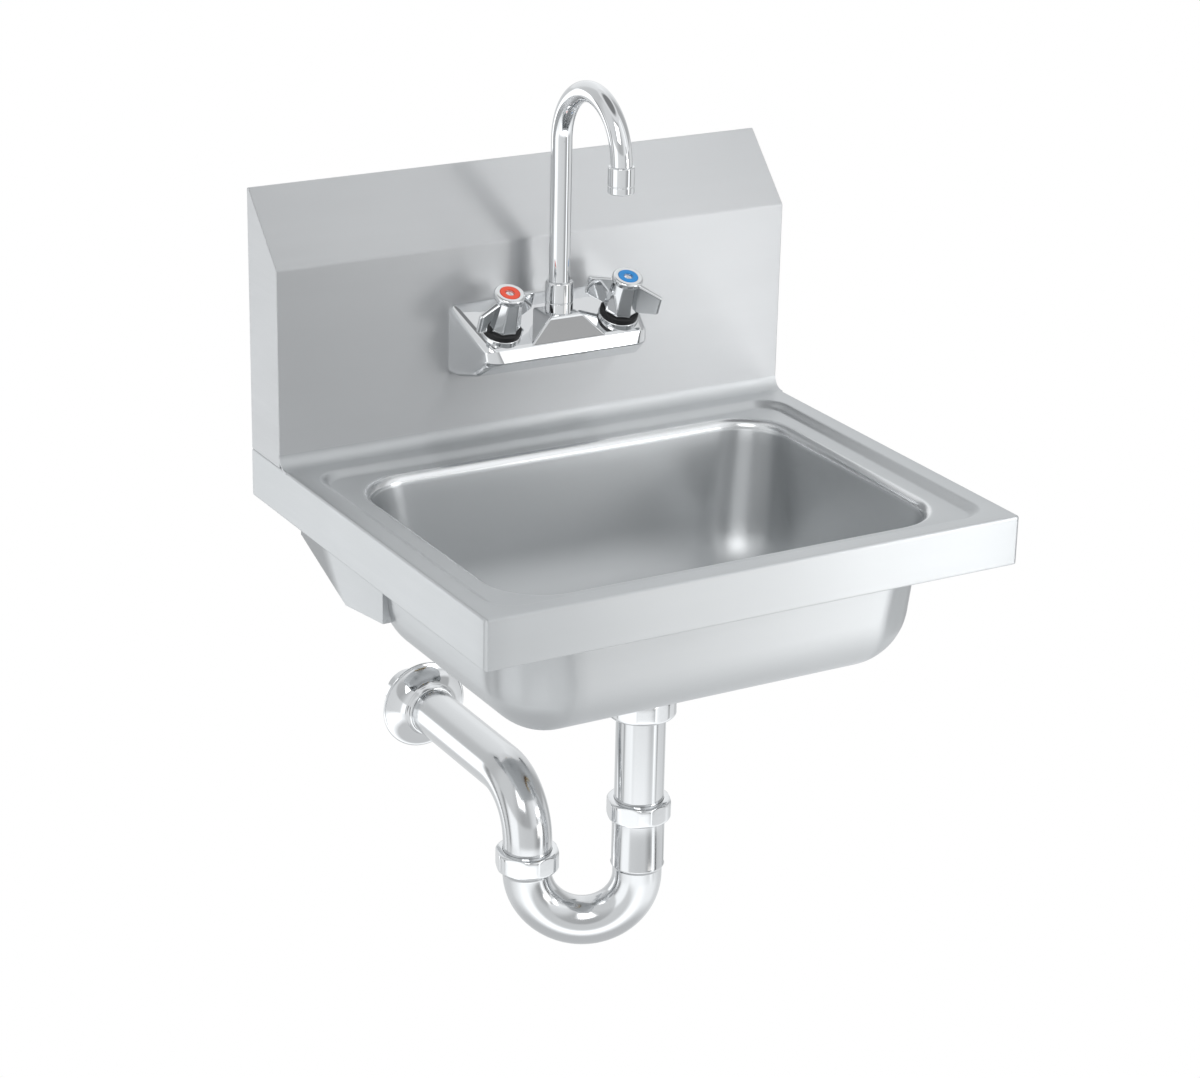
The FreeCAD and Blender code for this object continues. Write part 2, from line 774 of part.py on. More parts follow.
def hump_wire(half, reach, v):
    z = inlet_z + v
    points = [Vector(-half, splash_y, z), Vector(half, splash_y, z),
              Vector(half, splash_y - reach, z), Vector(-half, splash_y - reach, z)]
    return Part.makePolygon(points + points[:1])


def pad_form():
    half = body_back_half - pad_margin
    return block(-half, half, splash_y - pad_depth, splash_y,
                 inlet_z - body_bottom + pad_margin, inlet_z + body_top - pad_margin)


def faucet_gasket():
    pad = pad_form()
    for s in (-1, 1):
        inlet = Vector(s * inlet_spacing / 2, splash_y, inlet_z)
        pad = pad.cut(rod(shank_radius, inlet, to_front, pad_depth))
    return pad


def shank(side):
    # Threaded tube; a runout groove behind the locknut ends the thread that the supply's nut uses.
    base = Vector(side * inlet_spacing / 2, splash_y - shank_seat, inlet_z)
    groove = Vector(base.x, splash_y + sheet + shank_washer + locknut_height + shank_runout_offset, inlet_z)
    return pipe(shank_radius, shank_bore, base, to_wall, shank_length).cut(
        pipe(shank_radius + overrun, shank_radius - shank_runout_depth, groove, to_wall, shank_runout))


def shank_nut_washer(side):
    base = Vector(side * inlet_spacing / 2, splash_y + sheet, inlet_z)
    return pipe(shank_washer_radius, shank_radius, base, to_wall, shank_washer)


def shank_locknut(side):
    base = Vector(side * inlet_spacing / 2, splash_y + sheet + shank_washer, inlet_z)
    nut = regular_prism(locknut_flats, nut_sides, base, to_wall, locknut_height)
    return nut.cut(rod(shank_radius, base, to_wall, locknut_height))


def cartridge(side):
    # Valve insert: barrel in the body, hexagon bonnet above it, bore for the stem.
    axis = valve_axis()
    top = valve_base(side) + axis * boss_height
    body = rod(cartridge_radius, top, -axis, cartridge_depth)
    body = body.fuse(regular_prism(bonnet_flats, nut_sides, top, axis, bonnet_height))
    return body.cut(rod(stem_radius + stem_play, top + axis * bonnet_height, -axis,
                        bonnet_height + stem_depth))


def base_ring(side):
    axis = valve_axis()
    return pipe(base_ring_radius, base_ring_bore, valve_base(side) + axis * boss_height, axis,
                base_ring_height)


def hub_base(side):
    return valve_base(side) + valve_axis() * (boss_height + base_ring_height + handle_play)


def stem(side):
    axis = valve_axis()
    base = hub_base(side)
    low = base - axis * (base_ring_height + handle_play + stem_depth - sheet)
    lower = rod(stem_radius, low, axis, (base + axis * hub_cavity_height - low).Length)
    upper = rod(stem_top_radius, base + axis * hub_cavity_height, axis, stem_top - hub_cavity_height)
    thread = rod(handle_screw_radius, base + axis * stem_top, -axis, handle_screw_length)
    return lower.fuse(upper).cut(thread)


def wing(base, axis, along, across):
    # Flat blade through the hub's axis, both ways, its foot rising towards the tips.
    outline = [(wing_foot_reach, wing_foot), (wing_reach, wing_tip_foot), (wing_reach, wing_tip_top),
               (hub_top_radius, hub_height)]
    outline += [(-r, h) for r, h in reversed(outline)]
    start = base - across * (wing_thickness / 2)
    blade = prism([start + along * r + axis * h for r, h in outline], across * wing_thickness)

    def tip(e):
        a, b = e.Vertexes[0].Point, e.Vertexes[-1].Point
        far = abs((e.CenterOfMass - base).dot(along)) > wing_reach - tolerance
        return far and abs((a - b).dot(across)) > tolerance
    return rounded_edges(blade, wing_edge, tip)


def handle(side, rest):
    axis = valve_axis()
    base = hub_base(side)
    across0 = to_right
    other0 = axis.cross(across0)
    angle = math.radians(rest)
    along = across0 * math.cos(angle) + other0 * math.sin(angle)
    across = axis.cross(along)
    wires = []
    for radius, h in ((hub_foot_radius, 0), (hub_top_radius, hub_height)):
        points = []
        for i in range(hub_sides):
            a = 2 * math.pi * (i + 0.5) / hub_sides
            points.append(base + along * (radius * math.cos(a)) + across * (radius * math.sin(a)) + axis * h)
        wires.append(Part.makePolygon(points + points[:1]))
    hub = Part.makeLoft(wires, True, True)
    neck = cap_radius - cap_edge
    cap = turned([(0, 0), (hub_top_radius, 0), (cap_radius, cap_edge), (cap_radius, cap_height - cap_edge),
                  (neck, cap_height), (0, cap_height)], base + axis * hub_height, axis)
    body = hub.fuse([cap, wing(base, axis, along, across)])
    top = base + axis * (hub_height + cap_height)
    body = body.cut(rod(hub_cavity_radius, base, axis, hub_cavity_height))
    body = body.cut(rod(stem_top_radius, base, axis, stem_top))
    body = body.cut(rod(index_radius, top, -axis, index_depth))
    body = body.cut(rod(handle_screw_head, top, -axis, index_depth + handle_screw_head_height))
    return body.cut(rod(handle_screw_radius, top, -axis, hub_height + cap_height - stem_top))


def index_ring(side):
    axis = valve_axis()
    seat = hub_base(side) + axis * (hub_height + cap_height - index_depth)
    return pipe(index_radius, index_bore, seat, axis, index_depth + index_proud)


def handle_screw(side):
    axis = valve_axis()
    top = hub_base(side) + axis * (hub_height + cap_height - index_depth)
    head = rod(handle_screw_head, top, -axis, handle_screw_head_height)
    above_stem = hub_height + cap_height - index_depth - handle_screw_head_height - stem_top
    body = rod(handle_screw_radius, top - axis * handle_screw_head_height, -axis,
               above_stem + handle_screw_length)
    return head.fuse(body)


def spout():
    # Bent tube with a turned plug brazed to its foot.
    foot = Vector(0, spout_y, hump_z)
    plug = rod(plug_radius, foot + down * plug_depth, up, plug_depth + plug_shoulder)
    riser = rod(spout_radius, foot, up, riser_height)
    top = foot + up * riser_height
    middle = top + to_front * spout_swing_radius
    arch = Part.Face(Part.Wire(Part.makeCircle(spout_radius, top, up))).revolve(middle, to_right, 180)
    end = top + to_front * (2 * spout_swing_radius)
    drop = rod(spout_radius, end, down, outlet_drop)
    tube = riser.fuse([plug, arch, drop])
    bore = spout_radius - spout_wall
    hollow = rod(bore, foot + down * plug_depth, up, riser_height + plug_depth)
    hollow_arch = Part.Face(Part.Wire(Part.makeCircle(bore, top, up))).revolve(middle, to_right, 180)
    tube = tube.cut(hollow.fuse([hollow_arch, rod(bore, end, down, outlet_drop)]))
    for i in (1, 2):
        z = hump_z - plug_groove_pitch * i
        groove = pipe(plug_radius, plug_radius - plug_groove, Vector(0, spout_y, z), up, plug_groove_height)
        tube = tube.cut(groove)
    return tube


def spout_rings():
    rings = []
    for i in (1, 2):
        z = hump_z - plug_groove_pitch * i
        rings.append(pipe(plug_radius + ring_gap, plug_radius - plug_groove, Vector(0, spout_y, z), up,
                          plug_groove_height))
    return Part.makeCompound(rings)


def spout_collar():
    base = Vector(0, spout_y, hump_z)
    bore = spout_radius + plug_play
    room = plug_radius + plug_play
    profile = [(room, 0), (collar_radius, 0), (collar_radius, collar_height - collar_round),
               (collar_radius - collar_round, collar_height), (bore, collar_height),
               (bore, plug_shoulder + plug_play), (room, plug_shoulder + plug_play)]
    collar = turned(profile, base, up)
    flats = collar_flats / 2
    for s in (-1, 1):
        x0 = flats if s > 0 else -flats - collar_radius
        collar = collar.cut(block(x0, x0 + collar_radius, spout_y - collar_radius, spout_y + collar_radius,
                                  hump_z + sheet, hump_z + sheet + collar_flat_height))
    return collar


def aerator_housing():
    end = Vector(0, spout_y - 2 * spout_swing_radius, outlet_z)
    top = outlet_drop
    bottom = top - aerator_height
    inner = spout_radius
    profile = [(inner, top), (aerator_radius - aerator_edge, top), (aerator_radius, top - aerator_edge),
               (aerator_radius, bottom + aerator_edge), (aerator_radius - aerator_edge, bottom),
               (aerator_bore - aerator_edge, bottom), (aerator_bore - aerator_edge, bottom + aerator_edge),
               (aerator_bore, bottom + aerator_edge), (aerator_bore, 0), (inner, 0)]
    return turned(profile, end, up)


def aerator_screen():
    end = Vector(0, spout_y - 2 * spout_swing_radius, outlet_z)
    floor = end + up * (outlet_drop - aerator_height + aerator_edge)
    disc = rod(aerator_bore, floor, up, screen_height)
    cuts = []
    for i in range(-screen_slots, screen_slots + 1):
        x = i * screen_slot_width * 2
        half = math.sqrt((aerator_bore - aerator_edge) ** 2 - x ** 2) - screen_slot_width
        cuts.append(block(x - screen_slot_width / 2, x + screen_slot_width / 2, end.y - half, end.y + half,
                          floor.z, floor.z + screen_height))
    return disc.cut(cuts)


def aerator_seal():
    end = Vector(0, spout_y - 2 * spout_swing_radius, outlet_z)
    return pipe(aerator_bore, spout_radius - spout_wall, end, down, aerator_washer)


ends = {"splash_end_left": end_panel(-1), "splash_end_right": end_panel(1)}
save("basin", basin(list(ends.values())))
save("backsplash", backsplash())
for name, shape in ends.items():
    save(name, shape)
save("side_gusset_left", side_gusset(-1))
save("side_gusset_right", side_gusset(1))
save("wall_bracket", wall_bracket())

save("drain_body", drain_body())
save("strainer_basket", strainer_basket())
under_z = seat_z - sheet
save("drain_gasket", ring(under_gasket_radius, drain_radius, under_z, under_gasket))
washer_z = under_z - under_gasket
save("drain_friction_washer", ring(friction_washer_radius, drain_radius, washer_z, friction_washer))
save("drain_locknut", drain_locknut(washer_z - friction_washer))

save("tailpiece_washer", ring(tail_flange_radius, tube_bore, drain_end_z, tail_washer))
save("tailpiece", tailpiece())
save("tailpiece_nut", tailpiece_nut())
nut_rise = slip_washer + nut_lip
save("upper_slip_nut", capped_nut(slip_nut_flats, slip_nut_round, 0, bowl_y, inlet_top_z + nut_rise,
                                  slip_nut_height, thread_collar_radius))
save("upper_slip_washer", ring(thread_collar_radius, tube_radius, inlet_top_z + slip_washer, slip_washer))
save("j_bend", j_bend())
save("lower_slip_nut", capped_nut(slip_nut_flats, slip_nut_round, outlet_x, outlet_y, outlet_top_z + nut_rise,
                                  slip_nut_height, thread_collar_radius))
save("lower_slip_washer", ring(thread_collar_radius, tube_radius, outlet_top_z + slip_washer, slip_washer,
                               outlet_x, outlet_y))
save("trap_arm", trap_arm())
save("wall_escutcheon", wall_escutcheon())

save("faucet_body", faucet_body())
save("faucet_gasket", faucet_gasket())
for name, side, rest in (("hot", -1, hot_rest), ("cold", 1, cold_rest)):
    save(name + "_shank", shank(side))
    save(name + "_shank_washer", shank_nut_washer(side))
    save(name + "_shank_locknut", shank_locknut(side))
    save(name + "_cartridge", cartridge(side))
    save(name + "_base_ring", base_ring(side))
    save(name + "_stem", stem(side))
    save(name + "_handle", handle(side, rest))
    save(name + "_index_ring", index_ring(side))
    save(name + "_handle_screw", handle_screw(side))
save("spout_collar", spout_collar())
save("spout", spout())
save("spout_rings", spout_rings())
save("aerator_housing", aerator_housing())
save("aerator_screen", aerator_screen())
save("aerator_washer", aerator_seal())
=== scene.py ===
import json
from math import acos, atan2, cos, exp, pi, radians, sin, sqrt, tan

import bmesh
import bpy
import numpy as np
from mathutils import Matrix, Vector


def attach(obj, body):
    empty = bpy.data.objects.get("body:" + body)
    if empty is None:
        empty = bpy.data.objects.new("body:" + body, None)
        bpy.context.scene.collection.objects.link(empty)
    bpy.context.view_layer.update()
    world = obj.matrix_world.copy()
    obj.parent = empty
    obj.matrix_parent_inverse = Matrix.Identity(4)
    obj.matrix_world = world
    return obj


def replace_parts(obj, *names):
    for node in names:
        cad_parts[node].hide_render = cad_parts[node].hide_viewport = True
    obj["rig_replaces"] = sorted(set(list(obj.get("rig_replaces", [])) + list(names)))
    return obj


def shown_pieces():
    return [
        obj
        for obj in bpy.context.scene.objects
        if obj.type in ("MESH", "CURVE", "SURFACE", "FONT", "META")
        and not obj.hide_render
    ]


# Looks of a wall-hung stainless hand basin. Values are in millimetres; meshes are made in metres.
# X is to the right, Y to the wall, Z up.

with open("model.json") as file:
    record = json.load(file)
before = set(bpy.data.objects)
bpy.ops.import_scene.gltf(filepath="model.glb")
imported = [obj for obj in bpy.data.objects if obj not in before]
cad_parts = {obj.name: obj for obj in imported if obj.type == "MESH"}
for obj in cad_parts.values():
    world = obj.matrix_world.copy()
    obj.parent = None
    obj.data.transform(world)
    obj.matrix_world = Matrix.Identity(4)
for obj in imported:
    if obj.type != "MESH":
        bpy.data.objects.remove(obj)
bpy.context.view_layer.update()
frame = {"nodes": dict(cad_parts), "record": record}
mm = 0.001


print("stage: frame loaded")

# Places that several pieces share
deckZ = -139.7
splashY = -50.8
bowlY = -219.0
pipeRadius = 19.05
right = np.array([1.0, 0, 0])
up = np.array([0, 0, 1.0])


# Shader nodes

def feed(tree, node, inputs):
    # Each socket takes a value or another node's output.
    for label, value in inputs.items():
        if isinstance(value, bpy.types.NodeSocket):
            tree.links.new(value, node.inputs[label])
        else:
            node.inputs[label].default_value = value


def addNode(tree, kind, inputs, **settings):
    node = tree.nodes.new("ShaderNode" + kind)
    for label, value in settings.items():
        setattr(node, label, value)
    feed(tree, node, inputs)
    return node.outputs


def mathNode(tree, operation, *values):
    return addNode(tree, "Math", dict(enumerate(values)), operation=operation)[0]


def rangeNode(tree, value, low, high, newLow=0.0, newHigh=1.0):
    inputs = {"Value": value, "From Min": low, "From Max": high, "To Min": newLow, "To Max": newHigh}
    return addNode(tree, "MapRange", inputs)["Result"]


def noiseNode(tree, vector, scale, detail):
    return addNode(tree, "TexNoise", {"Vector": vector, "Scale": scale, "Detail": detail})["Fac"]


def mixNode(tree, mask, first, second, kind="RGBA"):
    # A mix has a pair of inputs and an output for each kind of value.
    a, b, out = {"RGBA": (6, 7, 2), "VECTOR": (4, 5, 1)}[kind]
    return addNode(tree, "Mix", {0: mask, a: first, b: second}, data_type=kind)[out]


def objectPlace(tree):
    return addNode(tree, "TexCoord", {})["Object"]


def trueNormal(tree):
    return addNode(tree, "NewGeometry", {})["Normal"]


def closeGroup(group, outputs):
    for label, value in outputs.items():
        kind = "NodeSocketVector" if value.type == "VECTOR" else "NodeSocketFloat"
        group.interface.new_socket(label, in_out="OUTPUT", socket_type=kind)
    feed(group, group.nodes.new("NodeGroupOutput"), outputs)
    return group


def buildGrain():
    # Brushed grain: streaks along X, or along Y on faces that look sideways. Across is square to the grain,
    # level on walls and along X on flats and the deck: reflections spread that way. Lost is 1 where the
    # bowl was drawn round a foot or a corner.
    group = bpy.data.node_groups.new("brushedGrain", "ShaderNodeTree")
    coords, normal = objectPlace(group), trueNormal(group)
    facing = addNode(group, "SeparateXYZ", {0: normal})
    sideLook = mathNode(group, "ABSOLUTE", facing["X"])
    upLook = mathNode(group, "ABSOLUTE", facing["Z"])
    sideways = mathNode(group, "GREATER_THAN", sideLook, 0.75)
    height = addNode(group, "SeparateXYZ", {0: coords})["Z"]
    inBowl = rangeNode(group, height, *bowlTop, 1.0, 0.0)

    def stretched(along, across):
        ways = [addNode(group, "Mapping", {"Vector": coords, "Scale": scale})["Vector"]
                for scale in ((along, across, across), (across, along, across))]
        return mixNode(group, sideways, *ways, "VECTOR")

    def crossNode(a, b):
        return addNode(group, "VectorMath", {0: a, 1: b}, operation="CROSS_PRODUCT")["Vector"]
    onDeck = mathNode(group, "MULTIPLY", mathNode(group, "SUBTRACT", 1.0, inBowl),
                      mathNode(group, "GREATER_THAN", upLook, 0.6))
    alongX = mathNode(group, "MAXIMUM", mathNode(group, "GREATER_THAN", upLook, 0.93), onDeck)
    grainWay = mixNode(group, alongX, crossNode((0, 0, 1), normal), (1, 0, 0), "VECTOR")
    drawn = mathNode(group, "MULTIPLY", rangeNode(group, sideLook, 0.15, 0.4),
                     rangeNode(group, upLook, 0.3, 0.5))
    return closeGroup(group, {
        "Streaks": noiseNode(group, stretched(18, 2600), 1.0, 3.0),
        "Bands": noiseNode(group, stretched(1.2, 55), 1.0, 2.0),
        "Across": crossNode(normal, grainWay),
        "Lost": mathNode(group, "MULTIPLY", drawn, inBowl),
    })


def buildClouds():
    # Soft clouds, as fingers, water and wiping leave on metal, and fine specks.
    group = bpy.data.node_groups.new("softClouds", "ShaderNodeTree")
    group.interface.new_socket("Size", in_out="INPUT", socket_type="NodeSocketFloat")
    size = group.nodes.new("NodeGroupInput").outputs["Size"]
    coords = objectPlace(group)
    return closeGroup(group, {
        "Clouds": rangeNode(group, noiseNode(group, coords, size, 4.0), 0.3, 0.7),
        "Specks": rangeNode(group, noiseNode(group, coords, 900.0, 1.0), 0.62, 0.78),
    })


def buildEdgeHighlight():
    # Painted highlight on edges: a mask from the difference between a rounded normal and the true one, where
    # the plating's colour is made lighter.
    group = bpy.data.node_groups.new("paintedEdgeHighlight", "ShaderNodeTree")
    rounded = addNode(group, "Bevel", {"Radius": 0.0006}, samples=4)["Normal"]
    match = addNode(group, "VectorMath", {0: rounded, 1: trueNormal(group)}, operation="DOT_PRODUCT")["Value"]
    return closeGroup(group, {"Edges": rangeNode(group, match, 0.97, 0.80)})


# Heights in metres between which the deck's straight grain gives way to the bowl's
bowlTop = (-0.151, -0.146)
grainGroup = buildGrain()
cloudGroup = buildClouds()
edgeHighlightGroup = buildEdgeHighlight()


# Materials

def startMaterial(name):
    material = bpy.data.materials.new(name)
    material.use_nodes = True
    tree = material.node_tree
    return material, tree, tree.nodes["Principled BSDF"]


def cloudsOf(tree, size):
    return addNode(tree, "Group", {"Size": size}, node_tree=cloudGroup)


def tinted(tree, colour, change, mask):
    # The colour, lighter or darker by change where the mask is 1.
    return mixNode(tree, mask, (*colour, 1), (*[min(1, c * (1 + change)) for c in colour], 1))


def bumpNode(tree, height, strength, distance):
    return addNode(tree, "Bump", {"Height": height, "Strength": strength, "Distance": distance})["Normal"]


def rollPolishAndHighlightMask(tree, low, high):
    # 1 on the drawn roll between two heights, where the sheet turns down: the press leaves it smoother, and
    # its lighter colour there is a painted highlight.
    height = addNode(tree, "SeparateXYZ", {0: objectPlace(tree)})["Z"]
    upLook = addNode(tree, "SeparateXYZ", {0: trueNormal(tree)})["Z"]
    inside = mathNode(tree, "MULTIPLY", rangeNode(tree, height, low, low + 0.002),
                      rangeNode(tree, height, high - 0.0006, high, 1.0, 0.0))
    return mathNode(tree, "MULTIPLY", inside, rangeNode(tree, upLook, 0.06, 0.3))


def brushedSteel(tree, look):
    # Satin sheet: streaks in bump, roughness and colour, wide bands in the colour, clouds in the roughness.
    grain = addNode(tree, "Group", {}, node_tree=grainGroup)
    mask = mathNode(tree, "ADD", mathNode(tree, "MULTIPLY", grain["Bands"], 0.7),
                    mathNode(tree, "MULTIPLY", grain["Streaks"], 0.3))
    colour = tinted(tree, look["colour"], look["tint"], mask)
    rough = rangeNode(tree, grain["Streaks"], 0.3, 0.7, look["rough"] - 0.03, look["rough"] + 0.03)
    softer = mathNode(tree, "MULTIPLY", cloudsOf(tree, 9.0)["Clouds"], look["cloud"])
    rough = mathNode(tree, "ADD", rough, softer)
    spread = rangeNode(tree, grain["Lost"], 0.0, 1.0, look["spread"], 0.0)
    if "roll" in look:
        roll = rollPolishAndHighlightMask(tree, *look["roll"])
        # Painted highlight: the roll takes a lighter colour than the rest of the sheet
        colour = mixNode(tree, roll, colour, (*look["rollHighlightColour"], 1))
        rough = rangeNode(tree, roll, 0.0, 1.0, rough, look["rollRough"])
        spread = rangeNode(tree, roll, 0.0, 1.0, spread, 0.0)
    return {
        "Metallic": 1.0, "Base Color": colour, "Roughness": rough, "Anisotropic": spread,
        "Tangent": grain["Across"], "Normal": bumpNode(tree, grain["Streaks"], look["bump"], 0.00004),
    }


def chromePlate(tree, look):
    # Bright plating: nearly a mirror, with a painted highlight that makes it lighter at its edges, with faint
    # clouds and a soft wave.
    clouds = cloudsOf(tree, 22.0)["Clouds"]
    edges = addNode(tree, "Group", {}, node_tree=edgeHighlightGroup)["Edges"]
    return {
        # Painted highlight: the plating's colour is 6 percent lighter on the edges
        "Metallic": 1.0, "Base Color": tinted(tree, look["colour"], 0.06, edges),
        "Roughness": rangeNode(tree, clouds, 0.0, 1.0, look["rough"], look["rough"] + look["cloud"]),
        "Normal": bumpNode(tree, clouds, look["wave"], 0.0002),
    }


def brassTurned(tree, look):
    # Machined brass, duller and browner in patches.
    clouds = cloudsOf(tree, 60.0)["Clouds"]
    return {
        "Metallic": 1.0, "Base Color": tinted(tree, look["colour"], -0.28, clouds),
        "Roughness": rangeNode(tree, clouds, 0.0, 1.0, look["rough"], look["rough"] + 0.18),
    }


def mouldedRubber(tree, look):
    # Rubber and plastic: no metal, fine texture in the bump, a little dust in the colour.
    clouds = cloudsOf(tree, 40.0)
    return {
        "Base Color": tinted(tree, look["colour"], look["tint"], clouds["Clouds"]),
        "Roughness": rangeNode(tree, clouds["Clouds"], 0.0, 1.0, look["rough"], look["rough"] + 0.08),
        "Normal": bumpNode(tree, clouds["Specks"], 0.15, 0.00005),
    }


sheetLook = dict(colour=(0.60, 0.615, 0.625), tint=0.04, rough=0.38, cloud=0.02, bump=0.05, spread=0.95)
plateLook = dict(colour=(0.78, 0.79, 0.80), rough=0.035, cloud=0.03, wave=0.05)
brassLook = dict(colour=(0.72, 0.55, 0.27), rough=0.28)
blackLook = dict(colour=(0.012, 0.012, 0.013), rough=0.32, tint=0.5)

# What each slot changes in the look of its kind; roll has heights in metres
steelSlots = {
    # The roll's lighter colour is a painted highlight; its lower roughness is the pressed finish
    "basin_sheet": {"roll": (-0.1535, -0.1448), "rollRough": 0.23, "rollHighlightColour": (0.79, 0.80, 0.81)},
    # Painted light: the splash and its end plates are the basin's steel in a lighter colour, so they read
    # brighter
    "splash_sheet": {"colour": (0.69, 0.70, 0.71), "rough": 0.44, "spread": 1.0},
    "gusset_sheet": {"rough": 0.40},
    "bracket_steel": {"colour": (0.62, 0.63, 0.64), "rough": 0.36},
    "drain_steel": {"rough": 0.24},
    "basket_steel": {"rough": 0.26},
    "shank_washer": {"colour": (0.66, 0.67, 0.69), "rough": 0.33},
}
chromeSlots = {
    "tailpiece_chrome": {"colour": (0.70, 0.71, 0.72), "rough": 0.06},
    "slip_nut_chrome": {"rough": 0.07, "wave": 0.22},
    "trap_chrome": {"colour": (0.69, 0.70, 0.71), "rough": 0.13},
    "cover_chrome": {"rough": 0.06, "wave": 0.12},
    "faucet_chrome": {"rough": 0.045, "wave": 0.10},
    "handle_chrome": {"rough": 0.045, "wave": 0.06},
    "screw_steel": {"rough": 0.12},
    "spout_chrome": {}, "collar_chrome": {}, "aerator_chrome": {},
}
brassSlots = {
    "drain_nut_brass": {}, "shank_brass": {}, "stem_brass": {},
    "locknut_brass": {"rough": 0.24},
    "cartridge_brass": {"rough": 0.32},
}
rubberSlots = {
    "drain_rubber": {}, "spout_rings": {},
    "slip_washer": {"rough": 0.5},
    "faucet_gasket": {"rough": 0.5},
    "base_ring_rubber": {"colour": (0.004, 0.004, 0.005), "rough": 0.5},
    "fibre_washer": {"colour": (0.42, 0.24, 0.12), "rough": 0.7, "tint": -0.2},
    "tail_washer": {"colour": (0.8, 0.8, 0.77), "rough": 0.4, "tint": -0.1},
    "hot_index": {"colour": (0.90, 0.085, 0.035), "rough": 0.3, "tint": 0.1},
    "cold_index": {"colour": (0.010, 0.27, 0.70), "rough": 0.3, "tint": 0.1},
    "aerator_insert": {"colour": (0.70, 0.71, 0.72), "rough": 0.35, "tint": -0.1},
}
finishes = {}
for kind, look, slots in ((brushedSteel, sheetLook, steelSlots), (chromePlate, plateLook, chromeSlots),
                          (brassTurned, brassLook, brassSlots), (mouldedRubber, blackLook, rubberSlots)):
    for slot, changes in slots.items():
        first, *rest = slot.split("_")
        finishes[slot], tree, shader = startMaterial(first + "".join(word.capitalize() for word in rest))
        feed(tree, shader, kind(tree, {**look, **changes}))
print("stage: materials")


# Surfaces

def gridFaces(rows, columns, closeRows=False, closeColumns=False, first=0):
    # Quads over a grid of points stored row by row.
    i = np.arange(rows if closeRows else rows - 1)
    j = np.arange(columns if closeColumns else columns - 1)
    a, b = np.meshgrid(i, j, indexing="ij")
    nextA, nextB = (a + 1) % rows, (b + 1) % columns
    corners = [a * columns + b, a * columns + nextB, nextA * columns + nextB, nextA * columns + b]
    return np.stack(corners, -1).reshape(-1, 4) + first


def meshFromGrids(name, grids):
    # grids: (points[row, column, xyz], closeRows, closeColumns); millimetres become metres here.
    points, quads, first = [], [], 0
    for surface, closeRows, closeColumns in grids:
        rows, columns = surface.shape[:2]
        points.append(surface.reshape(-1, 3))
        quads.append(gridFaces(rows, columns, closeRows, closeColumns, first))
        first += rows * columns
    points, quads = np.concatenate(points) * mm, np.concatenate(quads)
    mesh = bpy.data.meshes.new(name)
    mesh.from_pydata(points, [], quads)
    mesh.validate()
    return mesh


def islandsOf(work):
    # Groups of faces that hang together.
    left, groups = set(work.faces), []
    while left:
        group, edge = set(), [left.pop()]
        while edge:
            face = edge.pop()
            group.add(face)
            for near in {f for e in face.edges for f in e.link_faces if f in left}:
                left.discard(near)
                edge.append(near)
        groups.append(list(group))
    return groups


def mergeMesh(mesh, distance=0.000002, facing=None):
    # Seams and poles closed, flat slivers dissolved, faces turned outwards, or on an open sheet to facing.
    work = bmesh.new()
    work.from_mesh(mesh)
    bmesh.ops.remove_doubles(work, verts=work.verts, dist=distance)
    bmesh.ops.dissolve_degenerate(work, edges=work.edges, dist=distance / 2)
    bmesh.ops.recalc_face_normals(work, faces=work.faces)
    if facing:
        for group in islandsOf(work):
            if sum(face.calc_area() * face.normal.dot(Vector(facing)) for face in group) < 0:
                bmesh.ops.reverse_faces(work, faces=group)
    work.to_mesh(mesh)
    work.free()


def crispRim(mesh):
    # The open edges of a sheet stay crisp once it has its thickness.
    facesOfEdge = np.bincount([loop.edge_index for loop in mesh.loops])
    for i in np.flatnonzero(facesOfEdge == 1):
        mesh.edges[int(i)].use_edge_sharp = True


bodyOfNode = {node: body for body, nodes in frame["record"]["behaviour"]["bodies"].items() for node in nodes}


def newObject(name, data):
    thing = bpy.data.objects.new(name, data)
    bpy.context.scene.collection.objects.link(thing)
    return thing


def dressPiece(name, mesh, nodes, slotName, sharp):
    # An object with smooth shading and crisp edges, the slot's finish, and the CAD body that it rides on.
    piece = newObject(name, mesh)
    mesh.polygons.foreach_set("use_smooth", np.ones(len(mesh.polygons), dtype=bool))
    mesh.set_sharp_from_angle(angle=radians(sharp))
    crispRim(mesh)
    mesh.materials.clear()
    mesh.materials.append(finishes[slotName])
    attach(piece, bodyOfNode[nodes[0]])
    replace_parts(piece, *nodes)
    return piece


def newPiece(name, grids, nodes, slotName, sharp=60, wall=None, facing=None):
    mesh = meshFromGrids(name, grids)
    mergeMesh(mesh, facing=facing)
    piece = dressPiece(name, mesh, nodes, slotName, sharp)
    if wall:
        solidify = piece.modifiers.new("wall", "SOLIDIFY")
        solidify.thickness = wall * mm
        solidify.offset = -1
        solidify.use_even_offset = True


